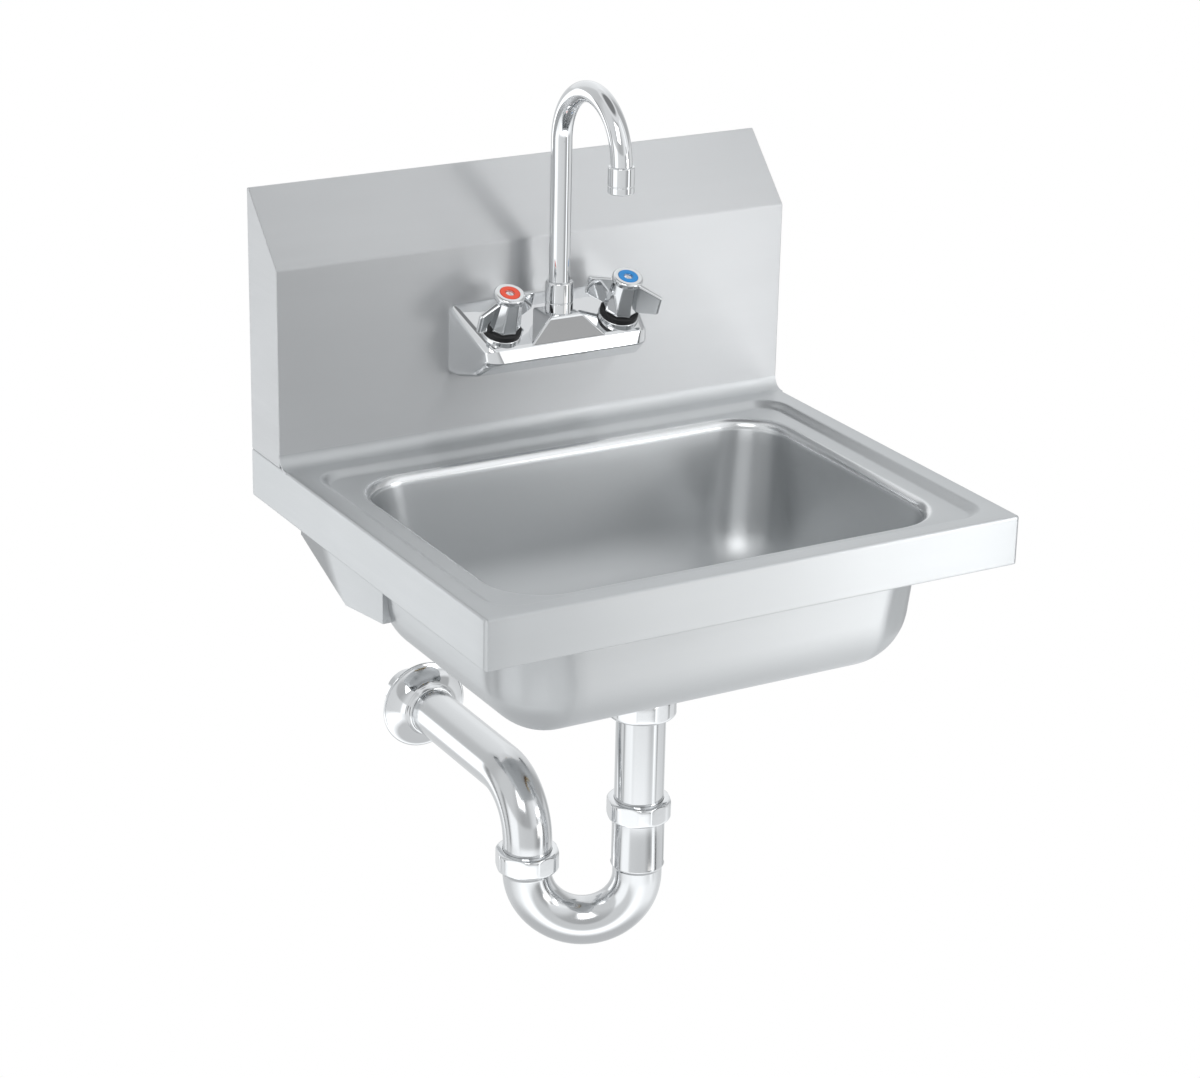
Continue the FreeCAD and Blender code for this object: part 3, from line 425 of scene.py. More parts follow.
def softened(points, radii, steps=8, flat=0.25):
    # Open profile with round corners: each inner corner becomes an arc of its radius, tangent to both
    # sides, with one more point on the flat just before and after it.
    points = np.asarray(points, float)
    out = [points[0]]
    for before, corner, after, radius in zip(points, points[1:], points[2:], radii):
        a, b = before - corner, after - corner
        reachA, reachB = np.linalg.norm(a), np.linalg.norm(b)
        a, b = a / reachA, b / reachB
        half = acos(np.clip(a @ b, -1, 1)) / 2
        if radius < 0.001 or half > 1.57:
            out.append(corner)
            continue
        cut = min(radius / tan(half), reachA * 0.49, reachB * 0.49)
        radius = cut * tan(half)
        middle = corner + (a + b) / np.linalg.norm(a + b) * (radius / sin(half))
        start, end = corner + a * cut, corner + b * cut
        u, v = (start - middle) / radius, (end - middle) / radius
        sweep = acos(np.clip(u @ v, -1, 1))
        t = np.linspace(0, 1, steps + 1)[:, None]
        arc = middle + radius * (np.sin((1 - t) * sweep) * u + np.sin(t * sweep) * v) / sin(sweep)
        support = min(flat, reachA * 0.1, reachB * 0.1)
        out += [start + a * support, *arc, end + b * support]
    out.append(points[-1])
    return np.array(out)


def closedSoftened(points, radii, steps=8, flat=0.25):
    # The same for a closed outline: opened at the middle of its first side.
    middle = np.add(points[0], points[1]) / 2
    outline = [middle, *points[1:], points[0], middle]
    return softened(outline, [*radii[1:], radii[0]], steps, flat)[:-1]


def insetOutline(points, inset):
    # Convex closed outline, each side moved inwards by inset.
    x, y = np.transpose(points)
    ahead = np.roll(points, -1, 0) - points
    ahead /= np.linalg.norm(ahead, axis=1)[:, None]
    area = np.sum(x * np.roll(y, -1) - np.roll(x, -1) * y)
    inward = np.stack([-ahead[:, 1], ahead[:, 0]], 1) * np.sign(area)
    behind = np.roll(inward, 1, 0)
    return points + (behind + inward) * inset / (1 + (behind * inward).sum(1))[:, None]


def roundAngles(steps):
    return np.linspace(0, 2 * pi, steps, endpoint=False)


def spokesOf(angle, across, other):
    return np.cos(angle)[:, None] * across + np.sin(angle)[:, None] * other


def turnedGrid(profile, base, axis=up, steps=96, closed=False):
    # Profile of (radius, height) carried round an axis; a closed one has an inside as well.
    across = np.cross(axis, right)
    spoke = spokesOf(roundAngles(steps), across, np.cross(axis, across))
    radius, height = np.array(profile).T[:, :, None, None]
    return base + height * axis + radius * spoke, closed, True


def pathGrid(path, ahead, across, radii, wall, steps=72):
    # Circles set square to the path, then the same circles less the wall on the way back.
    angle = roundAngles(steps)[None, :, None]
    spoke = np.cos(angle) * across + np.sin(angle) * np.cross(ahead, across)[:, None, :]
    outer = path[:, None, :] + spoke * radii[:, None, None]
    inner = path[:, None, :] + spoke * (np.minimum(radii, pipeRadius) - wall)[:, None, None]
    return np.concatenate([outer, inner[::-1]]), True, True


def hookPath(before, centre, radius, u, v, sweep, steps, after):
    # Straight, arc and straight as one path, with the way ahead at each point; the arc runs from u to v.
    t = np.linspace(0, radians(sweep), steps)[1:, None]
    arc = centre + radius * (np.cos(t) * u + np.sin(t) * v)
    turning = np.cos(t) * v - np.sin(t) * u
    ahead = [np.tile(v, (len(before), 1)), turning, np.tile(turning[-1], (len(after), 1))]
    return np.concatenate([before, arc, after]), np.concatenate(ahead)


def straight(start, end, count):
    t = np.linspace(0, 1, count)[:, None]
    return (1 - t) * start + t * end


def sheetGrid(curve, halfWidth, count):
    # Side view of (y, z) carried along X.
    surface = np.empty((len(curve), count, 3))
    surface[..., 0] = np.linspace(-halfWidth, halfWidth, count)
    surface[..., 1:] = np.asarray(curve)[:, None]
    return surface, False, False


def shrunk(row, *shares):
    # Copies of a closed row drawn in to its middle, which close a surface's end.
    centre = row.mean(0)
    return [centre + (row - centre) * share for share in shares]


# Basin: one sheet from the apron's inner lip over the deck and down into the bowl

sideSteps, cornerSteps = 24, 12


def ring(halfX, yFront, yBack, frontRadius, backRadius, z):
    # Round-cornered rectangle, walked from the left side's back end round the front to the right and back.
    def corner(cx, cy, radius, start):
        t = np.radians(np.linspace(start, start + 90, cornerSteps + 1))
        return np.stack([cx + radius * np.cos(t), cy + radius * np.sin(t)], 1)
    f, k = frontRadius, backRadius
    corners = [corner(-halfX + f, yFront + f, f, 180), corner(halfX - f, yFront + f, f, 270),
               corner(halfX - k, yBack - k, k, 0), corner(-halfX + k, yBack - k, k, 90)]
    parts = []
    for i, here in enumerate(corners):
        parts += [straight(corners[i - 1][-1], here[0], sideSteps + 1)[1:-1], here]
    flat = np.concatenate(parts)
    return np.column_stack([flat, np.full(len(flat), z)])


basinSheet = dict(
    halfWidth=219.0, depth=381.0, apron=38.1, lip=9.5, bend=2.2, foot=1.6, sheet=1.2,
    sideBorder=14.0, frontBorder=12.0, backBorder=19.2, ledgeCorner=25.0, drop=5.0, run=10.0,
    halfLength=177.8, halfBowl=127.0, bowlDepth=124.0, roll=8.0, draft=6.0,
    topCorner=40.0, lowCorner=54.0, footRadius=50.0,
    recess=44.0, recessDepth=2.2, recessRun=2.4, hole=24.6,
    cove=10.0, strip=25.0, seam=1.2, corner=0.6,
)


def bowlRings(s):
    # Ledge, roll, drafted wall, round foot, floor and drain recess as one stack of rings.
    rings = []
    for t in np.linspace(0, 1, 11):
        inset = s["run"] * t
        corner = s["ledgeCorner"] - inset
        rings.append(ring(s["halfWidth"] - s["sideBorder"] - inset, -s["depth"] + s["frontBorder"] + inset,
                          splashY - s["backBorder"] - inset, corner, corner,
                          deckZ - s["drop"] * t * t * (3 - 2 * t)))
    ledgeZ = deckZ - s["drop"]
    floorZ = ledgeZ - s["bowlDepth"]
    roll, foot = s["roll"], s["footRadius"]

    def level(inset, corner, z):
        corner = max(corner, 0.5)
        return ring(s["halfLength"] - inset, bowlY - s["halfBowl"] + inset, bowlY + s["halfBowl"] - inset,
                    corner, corner, z)
    lean = atan2(s["draft"], s["bowlDepth"])
    rings.append(level(-roll - 0.4, s["topCorner"] + roll, ledgeZ))
    for a in np.linspace(0, pi / 2 - lean, 10):
        rings.append(level(-roll + roll * sin(a), s["topCorner"] + roll * (1 - sin(a)),
                           ledgeZ - roll + roll * cos(a)))
    startZ = floorZ + foot * (1 - sin(lean))
    for z in np.linspace(ledgeZ - roll - 1.5, startZ, 8):
        share = (ledgeZ - z) / s["bowlDepth"]
        wallInset = s["draft"] * share
        wallCorner = s["topCorner"] + (s["lowCorner"] - s["topCorner"]) * share
        rings.append(level(wallInset, wallCorner, z))
    for a in np.linspace(lean, pi / 2, 22)[1:]:
        past = foot * (cos(lean) - cos(a))
        rings.append(level(wallInset + past, wallCorner - past, floorZ + foot * (1 - sin(a))))
    centre = np.array([0, bowlY])
    spoke = rings[-1][:, :2] - centre
    spoke /= np.linalg.norm(spoke, axis=1)[:, None]
    circles = [(s["recess"] + s["recessRun"] * 1.5, 0.0)]
    circles += [(s["recess"] - s["recessRun"] * t, s["recessDepth"] * t * t * (3 - 2 * t))
                for t in np.linspace(0, 1, 8)]
    circles += [(s["recess"] - s["recessRun"] * 1.5, s["recessDepth"]), (s["hole"], s["recessDepth"])]
    for radius, depth in circles:
        rings.append(np.column_stack([spoke * radius + centre, np.full(len(spoke), floorZ - depth)]))
    return rings


def apronWalk(s, out, z):
    # The ring's left, front and right sides at an outward offset, carried on to the wall at both ends.
    outer, back = s["halfWidth"] - s["bend"] + out, splashY - s["cove"] - s["seam"]
    whole = ring(outer, -s["depth"] + s["bend"] - out, back, max(0.05, s["corner"] + out), 0.001, z)
    front = whole[:3 * (sideSteps - 1) + 2 * (cornerSteps + 1)]
    left = straight((-outer, 0, z), (-outer, back, z), 9)
    return np.concatenate([left, front, straight((outer, back, z), (outer, 0, z), 9)])


def basinGrids(s):
    bend, foot, low, cove = s["bend"], s["foot"], deckZ - s["apron"], s["cove"]
    back = splashY - cove - s["seam"]
    border = ring(s["halfWidth"] - bend, -s["depth"] + bend, back, s["corner"], 0.001, deckZ)
    grids = [(np.array([border] + bowlRings(s)), False, True)]
    # Apron: bend at the deck's edge, upright wall, bend at the foot, lip turned in
    profile = [(bend * sin(a), deckZ - bend * (1 - cos(a))) for a in np.linspace(0, pi / 2, 8)]
    profile += [(bend, deckZ - bend - 1.0), (bend, low + foot + 1.0)]
    profile += [(bend - foot * (1 - cos(a)), low + foot * (1 - sin(a)))
                for a in np.linspace(0, pi / 2, 6)]
    profile += [(bend - s["lip"], low)]
    grids.append((np.array([apronWalk(s, out, z) for out, z in profile]), False, False))
    # Deck strips beside the open middle, from the wall to just under the cove
    x = np.linspace(s["halfWidth"] - s["strip"], s["halfWidth"] - bend, 4)
    y = np.linspace(0, splashY - cove + 1.0, 9)
    gx, gy = np.meshgrid(x, y, indexing="ij")
    for sign in (1, -1):
        grids.append((np.stack([sign * gx, gy, np.full_like(gx, deckZ)], -1), False, False))
    # Cove that turns the deck up into the splash
    curve = [(splashY - cove + cove * sin(a), deckZ + cove * (1 - cos(a)))
             for a in np.linspace(0, pi / 2, 14)]
    grids.append(sheetGrid([(back, deckZ)] + curve, s["halfWidth"], 40))
    return grids


newPiece("basinSheetMetal", basinGrids(basinSheet), ["basin"], "basin_sheet", sharp=50,
         wall=basinSheet["sheet"], facing=(0, 0, 1))


# Splash: upright front, slope and wall return, with a plate welded in at each end

splashSheet = dict(
    halfWidth=217.8, foot=10.0, frontHeight=152.4, pointHeight=206.0, bend=3.7, topBend=1.7,
    wallReturn=31.75, sheet=1.2, endEdge=0.6, endFoot=0.2,
)


def splashGrid(s):
    corners = [(splashY, deckZ + s["foot"]), (splashY, deckZ + s["frontHeight"]),
               (0, deckZ + s["pointHeight"]), (0, deckZ + s["pointHeight"] - s["wallReturn"])]
    return sheetGrid(softened(corners, [s["bend"], s["topBend"]], steps=12, flat=1.0), s["halfWidth"], 60)


newPiece("splashSheetMetal", [splashGrid(splashSheet)], ["backsplash"], "splash_sheet", sharp=50,
         wall=splashSheet["sheet"], facing=(0, -1, 0.5))


def endPlateGrid(s, sign):
    # Flat plate in the splash's side view; its outer rim is rounded by endEdge.
    outline = [(0, deckZ), (splashY, deckZ), (splashY, deckZ + s["frontHeight"]),
               (0, deckZ + s["pointHeight"])]
    radii = [s["endFoot"], s["endFoot"], s["bend"], s["topBend"]]
    outer, edge = s["halfWidth"] + s["sheet"], s["endEdge"]
    rows = [(s["halfWidth"], 0.0)]
    rows += [(outer - edge * (1 - sin(a)), edge * (1 - cos(a)))
             for a in np.linspace(0, pi / 2, 8)]
    loops = []
    for x, inset in rows:
        rim = closedSoftened(insetOutline(outline, inset), [max(0.05, r - inset) for r in radii])
        loops.append(np.column_stack([np.full(len(rim), sign * x), rim]))
    ends = shrunk(loops[0], 0.0, 0.5), shrunk(loops[-1], 0.985, 0.4925, 0.0)
    return np.array(ends[0] + loops + ends[1]), False, True


for sign, side in ((-1, "left"), (1, "right")):
    newPiece("endPlate_" + side, [endPlateGrid(splashSheet, sign)], ["splash_end_" + side], "splash_sheet",
             sharp=50)
print("stage: basin and splash")


# Trap

slipNut = dict(height=16.0, flats=47.0, corner=25.2, bore=19.3, chamfer=3.2, bevel=1.0, soft=0.1)
tailNut = dict(height=18.0, flats=52.0, corner=27.2, bore=19.3, chamfer=4.2, bevel=2.6, soft=0.1)
trap = dict(
    tailTop=-312.4, tailBottom=-414.0, flange=22.8, flangeHeight=1.5, washer=3.0,
    inletTop=-393.7, bendZ=-450.7, bendRadius=42.3, turn=29.0,
    socket=20.2, collar=22.0, skirt=9.0, socketEnd=-51.0, taper=3.0, bead=0.5, beadRun=1.2,
    outletLeg=12.0, seat=2.0, armInsertion=10.0, armZ=-381.5, armRadius=44.0, intoWall=30.0,
    wall=0.9, nutRise=7.0,
)
turn = radians(trap["turn"])
toOutlet = np.array([-cos(turn), sin(turn), 0])
legX, legY = 2 * trap["bendRadius"] * toOutlet[:2] + (0, bowlY)


def nutGrid(n, base, turnDegrees):
    # Hexagon nut: at each angle and height the smaller of the hexagon's and the chamfer cone's radius.
    height, flats, corner, chamfer = n["height"], n["flats"], n["corner"], n["chamfer"]
    angle = roundAngles(144)
    local = (angle + pi / 6) % (pi / 3) - pi / 6
    hexagon = flats / 2 / np.cos(local)
    hexagon = -np.logaddexp(-hexagon * 6, -(corner - n["soft"]) * 6) / 6
    z = np.concatenate([np.linspace(0, chamfer, 8), np.linspace(chamfer, height - chamfer, 5)[1:-1],
                        np.linspace(height - chamfer, height, 8)])
    t = np.clip(np.minimum(z, height - z) / chamfer, 0, 1)
    cone = flats / 2 - n["bevel"] + (corner - flats / 2 + n["bevel"]) * np.sqrt(1 - (1 - t) ** 2)
    radius = -np.logaddexp(-hexagon[None, :] * 5, -cone[:, None] * 5) / 5
    across = np.cross(up, right)
    spoke = spokesOf(angle + radians(turnDegrees), across, np.cross(up, across))
    body = base + z[:, None, None] * up + radius[:, :, None] * spoke
    inner = [base + h * up + n["bore"] * spoke for h in (height, 0.0)]
    return np.concatenate([body, inner]), True, True


def tailpieceGrid(t):
    bore, top, low = pipeRadius - t["wall"], t["tailTop"], t["tailBottom"]
    under = top - t["flangeHeight"]
    outer = softened([(bore, top), (t["flange"], top), (t["flange"], under), (pipeRadius, under),
                      (pipeRadius, low)], [0.4, 0.4, 0.4])
    return turnedGrid([*outer, (bore, low), (bore, top)], (0, bowlY, 0), closed=True)


def bendGrid(t):
    # Inlet leg, half circle and outlet bell as one path; the radius changes along it.
    top, run, taperZ = t["inletTop"], t["beadRun"], t["socketEnd"] + t["taper"]
    legs = softened([(0.0, t["collar"]), (-t["skirt"], t["collar"]), (-t["skirt"], t["socket"]),
                     (taperZ + run, t["socket"])], [0.6, 0.6], steps=4)
    bead = softened([(taperZ, t["socket"] + t["bead"]), (taperZ - run, t["socket"]),
                     (t["socketEnd"], pipeRadius), (t["socketEnd"] - 1.0, pipeRadius),
                     (t["bendZ"] - top, pipeRadius)], [0.8, 0.8, 0.3], steps=4)
    legs = np.concatenate([legs, bead])
    bell = softened([(0, pipeRadius), (t["seat"], t["collar"]), (t["outletLeg"], t["collar"])], [1.0],
                    steps=4)[1:]
    centre = (legX / 2, (bowlY + legY) / 2, t["bendZ"])
    path, ahead = hookPath((0, bowlY, top) + legs[:, :1] * up, centre, t["bendRadius"], -toOutlet, -up,
                           180, 64, (legX, legY, t["bendZ"]) + bell[:, :1] * up)
    around = np.full(len(path) - len(legs) - len(bell), pipeRadius)
    return pathGrid(path, ahead, np.cross(toOutlet, up), np.concatenate([legs[:, 1], around, bell[:, 1]]),
                    t["wall"])


def armGrid(t):
    low, corner = t["bendZ"] + t["outletLeg"] - t["armInsertion"], t["armZ"] - t["armRadius"]
    bendY = legY + t["armRadius"]
    rise = straight((legX, legY, low), (legX, legY, corner), 12)
    run = straight((legX, bendY, t["armZ"]), (legX, t["intoWall"], t["armZ"]), 24)[1:]
    path, ahead = hookPath(rise, (legX, bendY, corner), t["armRadius"], (0, -1, 0), up, 90, 40, run)
    return pathGrid(path, ahead, right, np.full(len(path), pipeRadius), t["wall"])


escutcheon = dict(radius=36.0, rim=1.5, bell=13.0, collar=20.6, depth=18.0, sheet=0.8, gap=0.1)


def escutcheonGrid(e):
    # Bell profile: rim on the wall, S curve up to the collar round the pipe, and back inside.
    radius, rim, bell, collar, depth = e["radius"], e["rim"], e["bell"], e["collar"], e["depth"]
    bore = pipeRadius + e["gap"]
    curve = [(collar + 0.8 + (radius - 1.2 - collar - 0.8) * (1 - s) ** 1.6, rim + (bell - rim) * s ** 1.25)
             for s in np.linspace(0, 1, 24)]
    outer = [(radius - 0.6, 0), (radius, 0.5), (radius, 1.0), (radius - 0.5, rim)] + curve
    outer += [(collar, bell + 1.4), (collar, depth - 0.3), (collar - 0.3, depth)]
    inner = [(bore, depth), (bore, bell - 1.0)]
    inner += [(max(bore, r - e["sheet"]), max(0.3, h - e["sheet"])) for r, h in curve[::-3]]
    inner += [(radius - 1.6, 0)]
    return turnedGrid(outer + inner, (legX, 0, trap["armZ"]), (0, -1, 0), steps=120, closed=True)


newPiece("tailpieceTube", [tailpieceGrid(trap)], ["tailpiece"], "tailpiece_chrome", sharp=35)
tailNutZ = trap["tailTop"] - trap["flangeHeight"] - trap["washer"]
upperNutZ = trap["inletTop"] + trap["nutRise"] - slipNut["height"]
lowerNutZ = trap["bendZ"] + trap["outletLeg"] + trap["nutRise"] - slipNut["height"]
newPiece("tailpieceNutBody", [nutGrid(tailNut, (0, bowlY, tailNutZ), 8)], ["tailpiece_nut"],
         "slip_nut_chrome")
newPiece("upperSlipNutBody", [nutGrid(slipNut, (0, bowlY, upperNutZ), 12)], ["upper_slip_nut"],
         "slip_nut_chrome")
newPiece("lowerSlipNutBody", [nutGrid(slipNut, (legX, legY, lowerNutZ), 12)], ["lower_slip_nut"],
         "slip_nut_chrome")
newPiece("trapBend", [bendGrid(trap)], ["j_bend"], "trap_chrome")
newPiece("trapArmTube", [armGrid(trap)], ["trap_arm"], "trap_chrome", sharp=35)
newPiece("escutcheonBell", [escutcheonGrid(escutcheon)], ["wall_escutcheon"], "cover_chrome")
print("stage: trap")


# Spout

spout = dict(
    y=-81.8, footZ=-38.1, socket=14.0, archZ=95.3, swing=44.45, radius=8.0, wall=1.0,
    drop=3.0, collar=10.6, collarHeight=24.0, collarRound=2.0, collarPlay=0.06,
    aerator=9.8, aeratorHeight=20.0, aeratorEdge=1.0, aeratorBore=8.2, aeratorPlay=0.02,
)
tipY = spout["y"] - 2 * spout["swing"]


def groove(radius, z, depth, way):
    # Four points of a shallow groove round the outside, walked up or down.
    return [(radius, z), (radius - depth, z + way * 0.3), (radius - depth, z + way * 0.9),
            (radius, z + way * 1.2)]


def spoutGrid(s):
    rise = straight((0, s["y"], s["footZ"] - s["socket"]), (0, s["y"], s["archZ"]), 20)
    down = straight((0, tipY, s["archZ"]), (0, tipY, s["archZ"] - s["drop"]), 3)[1:]
    centre = (0, s["y"] - s["swing"], s["archZ"])
    path, ahead = hookPath(rise, centre, s["swing"], (0, 1, 0), up, 180, 72, down)
    return pathGrid(path, ahead, right, np.full(len(path), s["radius"]), s["wall"])


def collarGrid(s):
    r, h, bore = s["collar"], s["collarHeight"], s["radius"] + s["collarPlay"]
    profile = softened([(bore, 0), (r, 0), *groove(r, 7.6, 0.35, 1), (r, h), (bore, h)],
                       [0.4, 0.2, 0.2, 0.2, 0.2, s["collarRound"]], steps=6)
    return turnedGrid(profile, (0, s["y"], s["footZ"]), closed=True)


def aeratorGrid(s):
    top, low, r, edge = s["drop"], s["drop"] - s["aeratorHeight"], s["aerator"], s["aeratorEdge"]
    bore, seat = s["radius"] + s["aeratorPlay"], s["aeratorBore"]
    profile = softened([(bore, top), (r, top), *groove(r, low + 6.4, 0.4, -1), (r, low), (seat - edge, low),
                        (seat - edge, low + edge), (seat, low + edge), (seat, 0), (bore, 0)],
                       [edge, 0.2, 0.2, 0.2, 0.2, edge, 0.3, 0.2, 0.2, 0.2], steps=5)
    return turnedGrid(profile, (0, tipY, s["archZ"] - s["drop"]), closed=True)


newPiece("spoutTube", [spoutGrid(spout)], ["spout"], "spout_chrome", sharp=35)
newPiece("spoutCollar", [collarGrid(spout)], ["spout_collar"], "collar_chrome")
newPiece("aeratorShell", [aeratorGrid(spout)], ["aerator_housing"], "aerator_chrome")
print("stage: spout")


# Faucet body

faucet = dict(
    inletZ=-57.1, reach=50.0, backHalf=78.0, frontHalf=68.5, top=27.0, bottom=29.0,
    noseTop=2.0, noseBottom=10.5, noseBevel=2.0, noseLean=1.9, setback=5.0, lipDrop=2.5,
    bellyReach=30.0, bellyDrop=24.0, corner=9.0, endRound=5.0,
    humpTop=19.0, humpTopHalf=13.5, humpTopReach=42.5, humpFoot=1.0, humpFootHalf=32.0,
    humpFootReach=47.5, humpSoft=1.4, boss=15.5, bossHeight=1.6, bossBore=9.2, bossSunk=6.0,
    valveX=50.8, valveReach=33.0, tilt=22.0,
)
# Radii of the side view's corners, from the foot at the wall under the belly to the nose and the top
bodyRadii = [0.3, 14.0, 12.0, 1.6, 1.6, 1.2, 1.2, 1.5]


def bodyGrid(f):
    # Side view carried along X; near each end it shrinks on a quarter circle, so the ends are rounded.
    reach, corner, soft = f["reach"], f["corner"], f["endRound"]
    outline = [(0, -f["bottom"]), (corner, -f["bottom"]), (f["bellyReach"], -f["bellyDrop"]),
               (reach - f["setback"], -f["noseBottom"] - f["lipDrop"]), (reach, -f["noseBottom"]),
               (reach - f["noseLean"], f["noseTop"] - f["noseBevel"]),
               (reach - f["noseBevel"] - f["noseLean"], f["noseTop"]), (0, f["top"])]
    quarter = np.linspace(0, pi / 2, 12)
    stations = [(-1, a) for a in quarter[::-1]] + [(0, t) for t in np.linspace(-1, 1, 12)[1:-1]]
    stations += [(1, a) for a in quarter]
    rows = []
    for end, value in stations:
        inset = soft * (1 - cos(value)) if end else 0.0
        u, v = closedSoftened(insetOutline(outline, inset), [max(0.1, r - inset * 0.5) for r in bodyRadii]).T
        u = np.maximum(u - inset * (u < inset + 0.01), 0.0)
        half = f["backHalf"] - (f["backHalf"] - f["frontHalf"]) * u / reach
        # The plan's front corners are rounder than its other edges
        nearFront = np.clip((u - (reach - corner)) / corner, 0, 1)
        half = half - corner * (1 - np.sqrt(np.maximum(0, 1 - nearFront ** 2)))
        x = end * (half - soft + soft * sin(value)) if end else value * (half - soft)
        rows.append(np.column_stack([x, splashY - u, f["inletZ"] + v]))
    return np.array(shrunk(rows[0], 0.0, 0.6) + rows + shrunk(rows[-1], 0.6, 0.0)), False, True


def humpGrid(f):
    # Ridge under the spout: rectangles with soft corners, from the broad foot up to the flat top.
    rows = []
    edge = 0.94
    for t in np.concatenate([np.linspace(0, edge, 10), np.linspace(0.955, 1.0, 5)]):
        inset = 0.8 * f["humpSoft"] * max(0.0, (t - edge) / (1 - edge)) ** 2
        half = f["humpFootHalf"] + (f["humpTopHalf"] - f["humpFootHalf"]) * t - inset
        front = splashY - f["humpFootReach"] - (f["humpTopReach"] - f["humpFootReach"]) * t + inset
        rim = closedSoftened([(-half, splashY), (half, splashY), (half, front), (-half, front)],
                             [0.1, 0.1, 1.6, 1.6], steps=6)
        z = f["inletZ"] + f["humpFoot"] + (f["humpTop"] - f["humpFoot"]) * t
        rows.append(np.column_stack([rim, np.full(len(rim), z)]))
    return np.array(rows + shrunk(rows[-1], 0.6, 0.0)), False, True


handleTilt = radians(faucet["tilt"])
valveAxis = np.array([0, -sin(handleTilt), cos(handleTilt)])
overAxis = np.cross(valveAxis, right)
slopeFall = (faucet["top"] - faucet["noseTop"]) / (faucet["reach"] - faucet["noseBevel"])
valveZ = faucet["inletZ"] + faucet["top"] - faucet["valveReach"] * slopeFall


def valveBase(side):
    return np.array([side * faucet["valveX"], splashY - faucet["valveReach"], valveZ])


def bossGrid(f, side):
    profile = softened([(f["boss"] + 1.2, -f["bossSunk"]), (f["boss"], f["bossHeight"]),
                        (f["bossBore"], f["bossHeight"])], [0.8], steps=6)
    return turnedGrid(profile, valveBase(side), valveAxis)


newPiece("faucetBodyShell", [bodyGrid(faucet), humpGrid(faucet), bossGrid(faucet, -1), bossGrid(faucet, 1)],
         ["faucet_body"], "faucet_chrome", sharp=28)


# Handles

knob = dict(
    foot=13.8, top=10.8, height=26.0, sides=8, cap=12.0, capHeight=5.0, play=0.3,
    ringHeight=4.4, ring=15.0, ringBore=11.0, cavity=10.7, cavityHeight=9.0,
    wingRoot=6.0, wingReach=29.5, wingThickness=4.6, wingTipThickness=3.4, wingFootReach=13.0,
    wingFoot=1.5, tipFoot=5.5, tipTop=20.5, tipRound=1.6, wingSoft=1.5,
    index=7.6, indexBore=3.6, indexDepth=0.8, indexProud=0.3, screwHead=3.4, screwSunk=2.4,
)


def hubGrid(k, base, along, across):
    # Eight-sided taper with flat sides and soft arrises, open underneath.
    angle = roundAngles(160)
    sector = 2 * pi / k["sides"]
    local = (angle % sector) - sector / 2
    shape = cos(sector / 2) / np.cos(local)
    shape = shape * (1 - 0.006 * np.exp(-((np.abs(local) - sector / 2) / 0.05) ** 2))
    t = np.linspace(0, 1, 18)
    size = k["foot"] + (k["top"] - k["foot"]) * t - 0.5 * np.clip(1 - t / 0.035, 0, 1) ** 2
    spoke = spokesOf(angle, along, across)
    outer = base + (k["height"] * t)[:, None, None] * valveAxis + (size[:, None] * shape)[:, :, None] * spoke
    ceiling = base + k["cavityHeight"] * valveAxis
    inner = [ceiling + 4.0 * spoke, ceiling + k["cavity"] * spoke, base + k["cavity"] * spoke]
    return np.concatenate([inner, outer]), False, True


def capGrid(k, base):
    # Round cap with a soft rim, a recess for the index ring and a counterbore for the screw.
    low, top, cap = k["height"], k["height"] + k["capHeight"], k["cap"]
    index, screw = k["index"] + 0.15, k["screwHead"] + 0.1
    seat, deep = top - k["indexDepth"], top - k["screwSunk"]
    profile = softened([(k["top"] - 1.5, low), (cap - 0.4, low), (cap, low + 1.4), (cap, top), (index, top),
                        (index, seat), (screw, seat), (screw, deep), (0.01, deep)],
                       [0.5, 0.8, 1.7, 0.3, 0.2, 0.2, 0.2], steps=7)
    return turnedGrid(profile, base, valveAxis, steps=120)


def wingGrid(k, base, along, across):
    # Blade: round-cornered upright sections along the reach, thinner and lower towards the tip.
    rows = []
    tip, edge = k["tipRound"], k["wingReach"] - k["tipRound"]
    for r in np.concatenate([np.linspace(k["wingRoot"], edge, 14),
                             edge + tip * np.sin(np.linspace(0.2, pi / 2, 7))]):
        share = np.clip((r - k["top"]) / (k["wingReach"] - k["top"]), 0, 1)
        footShare = np.clip((r - k["wingFootReach"]) / (k["wingReach"] - k["wingFootReach"]), 0, 1)
        inset = k["wingSoft"] * (1 - sqrt(1 - np.clip((r - edge) / tip, 0, 1) ** 2))
        top = k["height"] + (k["tipTop"] - k["height"]) * share - inset
        foot = k["wingFoot"] + (k["tipFoot"] - k["wingFoot"]) * footShare + inset
        half = (k["wingThickness"] + (k["wingTipThickness"] - k["wingThickness"]) * share) / 2 - inset
        soft = max(0.05, k["wingSoft"] - inset * 0.9)
        rim = closedSoftened([(-half, foot), (half, foot), (half, top), (-half, top)], [soft] * 4, steps=6,
                             flat=0.1)
        rows.append(base + along * r + rim[:, :1] * across + rim[:, 1:] * valveAxis)
    return np.array(rows + shrunk(rows[-1], 0.0)), False, True


def ringGrid(outer, inner, low, high, base, soft):
    profile = closedSoftened([(inner, low), (outer, low), (outer, high), (inner, high)], [soft] * 4, steps=5)
    return turnedGrid(profile, base, valveAxis, closed=True)


